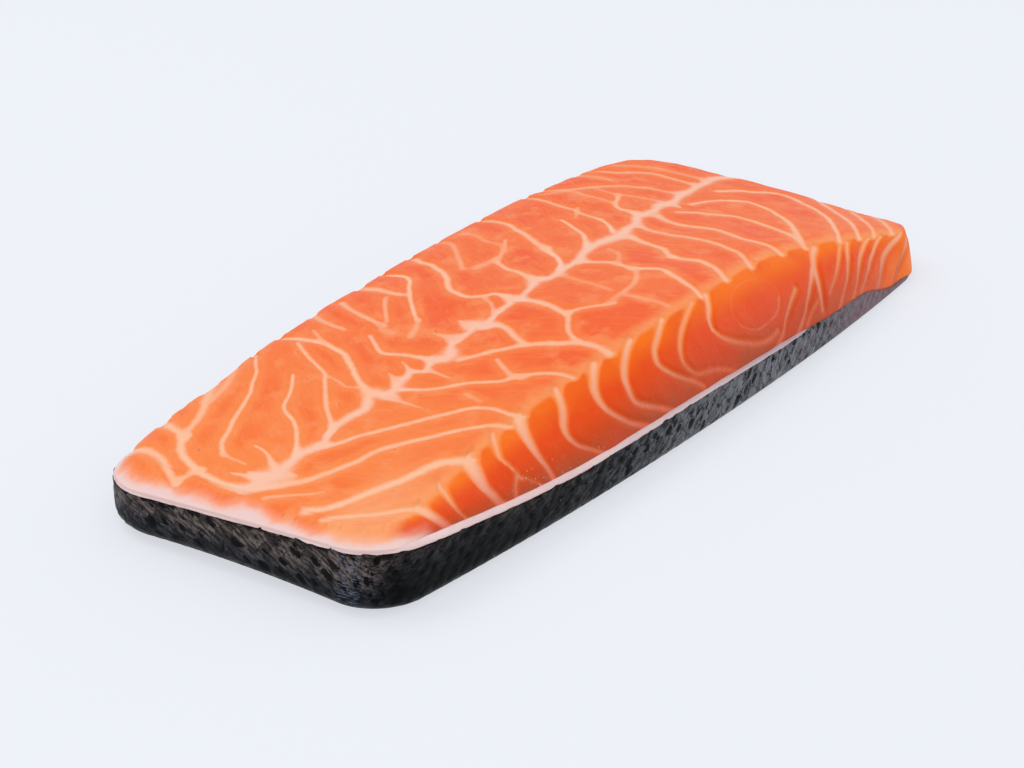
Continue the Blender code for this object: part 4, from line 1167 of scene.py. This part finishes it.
def skin_edges(it, place, run, height, below):
    """The skin's notched dark rim, a dark line of painted shade along its bottom edge, and painted glints and
    sheen.
    """
    notch = it.ramp(it.noise(it.vector("MULTIPLY", place, (0.5, 1.0, 1.0)), 420.0), 0.50, 0.58)
    notch = notch * it.fall(below, 0.0003, 0.0022)
    it.paint(notch * it.ramp(run, 60.0, 120.0, 0.9, 0.1), (18, 7, 5))
    # Painted shade: a dark line along the bottom edge, where the skin turns under.
    it.paint(it.ramp(height, 0.2, 1.3, 0.8, 0.0), (10, 10, 12))
    purple = it.ramp(run + (it.noise(place, 330.0, 3.0) - 0.5) * 40.0, 176.0, 206.0)
    it.paint(purple * 0.8, (124, 96, 102))
    glint = it.fall(it.cells(place, 700.0), 0.0, 0.16) * it.ramp(it.noise(place, 150.0), 0.58, 0.66)
    it.paint(glint * 0.8, (180, 188, 202))
    sheen = it.ramp(run, -12.0, -8.5) * it.fall(run, -6.0, -3.5)
    ticks = it.noise(it.vector("MULTIPLY", place, (0.25, 1.0, 1.0)), 2200.0)
    it.paint(sheen * it.ramp(ticks, 0.5, 0.7, 0.0, 0.75), (104, 116, 138))


def skin_material(piece):
    """Wet dark skin: mottled grey with black marks between the scales."""
    it = Surface("wet_scaled_skin")
    place, streak = it.place("skin_place"), it.place("streak")
    run, height, below = it.value("run"), it.value("height"), it.value("below_rim")
    fine, blotch = it.noise(place, 1300.0, 4.0, 0.65), it.noise(place, 330.0, 3.0)
    strands = it.noise(it.vector("MULTIPLY", streak, (0.24, 1.0, 1.0)), 1150.0, 3.0, 0.6)
    shift = it.vector("ADD", it.noise(place, 420.0, 4.0, 0.62, "Color"), (-0.5, -0.5, -0.5))
    grid = it.vector("ADD", it.vector("MULTIPLY", shift, (1.3, 1.3, 0.0)), it.place("scale_grid"))
    edges = it.cells(grid, randomness=0.45, feature="DISTANCE_TO_EDGE")
    crack = it.fall(edges + (fine - 0.5) * 0.12, 0.01, 0.09) * it.ramp(blotch, 0.38, 0.56, 0.25, 0.95)

    skin_grey(it, it.part(it.cells(grid, randomness=0.45, output="Color"), 1), run, height, below)
    it.paint(it.fall(strands, 0.40, 0.58) * (it.ramp(run, 60.0, 150.0, 1.0, 0.5) * 0.85), (8, 8, 10))
    it.paint(it.ramp(strands, 0.60, 0.74) * 0.35, (134, 132, 136))
    it.paint(it.ramp(fine, 0.48, 0.70, 0.0, 0.45), (18, 18, 21))
    it.paint(crack * 0.9, (6, 6, 7))
    corner_dark = it.ramp(run, -5.0, 4.0) * it.fall(run, 30.0, 140.0) * it.ramp(height, 4.0, 15.0, 1.0, 0.4)
    it.paint(corner_dark * 0.92, (1, 1, 2))
    it.paint(it.fall(height, 2.0, 9.0) * it.fall(run, -10.0, 4.0) * 0.75, (5, 6, 8))
    it.paint(skin_marks(it, streak, shift, run) * it.ramp(run, 170.0, 205.0, 0.97, 0.15), (1, 1, 2))
    skin_edges(it, place, run, height, below)
    it.bump(fine * 0.7 + crack * -0.5, 0.4, 0.0003)
    it.finish(piece, roughness=it.ramp(blotch, 0.35, 0.7, 0.30, 0.5), specular_ior_level=0.06)


def dress(piece, material, node):
    """Gives a piece its material and ties it to the solid that it stands for."""
    material(piece)
    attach(piece, "root")
    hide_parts(node)


def make_stage():
    """A plain pale floor and soft light."""
    mesh = bpy.data.meshes.new("floor")
    shape = bmesh.new()
    bmesh.ops.create_grid(shape, x_segments=1, y_segments=1, size=FLOOR_SIZE)
    shape.to_mesh(mesh)
    shape.free()
    floor = bpy.data.objects.new("floor", mesh)
    floor.location.z = -0.1 * MM
    bpy.context.scene.collection.objects.link(floor)
    material = bpy.data.materials.new("pale_floor")
    material.use_nodes = True
    shader = material.node_tree.nodes["Principled BSDF"]
    shader.inputs["Base Color"].default_value = (*FLOOR_COLOUR, 1.0)
    shader.inputs["Emission Color"].default_value = (*BACKGROUND, 1.0)
    shader.inputs["Emission Strength"].default_value = FLOOR_GLOW
    shader.inputs["Roughness"].default_value = 0.9
    shader.inputs["Specular IOR Level"].default_value = 0.0
    mesh.materials.append(material)

    world = bpy.data.worlds.new("studio")
    world.use_nodes = True
    world.node_tree.nodes["Background"].inputs["Color"].default_value = (*BACKGROUND, 1.0)
    world.node_tree.nodes["Background"].inputs["Strength"].default_value = WORLD_STRENGTH
    bpy.context.scene.world = world
    for name, place, power, size in LIGHTS:
        light = bpy.data.lights.new(name, "AREA")
        light.energy = power
        light.size = size
        lamp = bpy.data.objects.new(name, light)
        lamp.location = place
        lamp.rotation_euler = (-Vector(place)).to_track_quat("-Z", "Y").to_euler()
        bpy.context.scene.collection.objects.link(lamp)


def make_camera():
    """The camera of the photo."""
    camera = bpy.data.objects.new("camera", bpy.data.cameras.new("camera"))
    camera.data.lens = CAMERA_LENS
    camera.data.sensor_width = 36.0
    camera.data.clip_start = 0.01
    camera.location = CAMERA_AT
    camera.rotation_euler = [math.radians(turn) for turn in CAMERA_TURN]
    bpy.context.scene.collection.objects.link(camera)
    bpy.context.scene.camera = camera


make_camera()
make_stage()
dress(make_flesh(), flesh_material, "flesh")
dress(make_fat(), fat_material, "fat_layer")
dress(make_skin(), skin_material, "skin")
bpy.context.scene.view_settings.view_transform = "Standard"
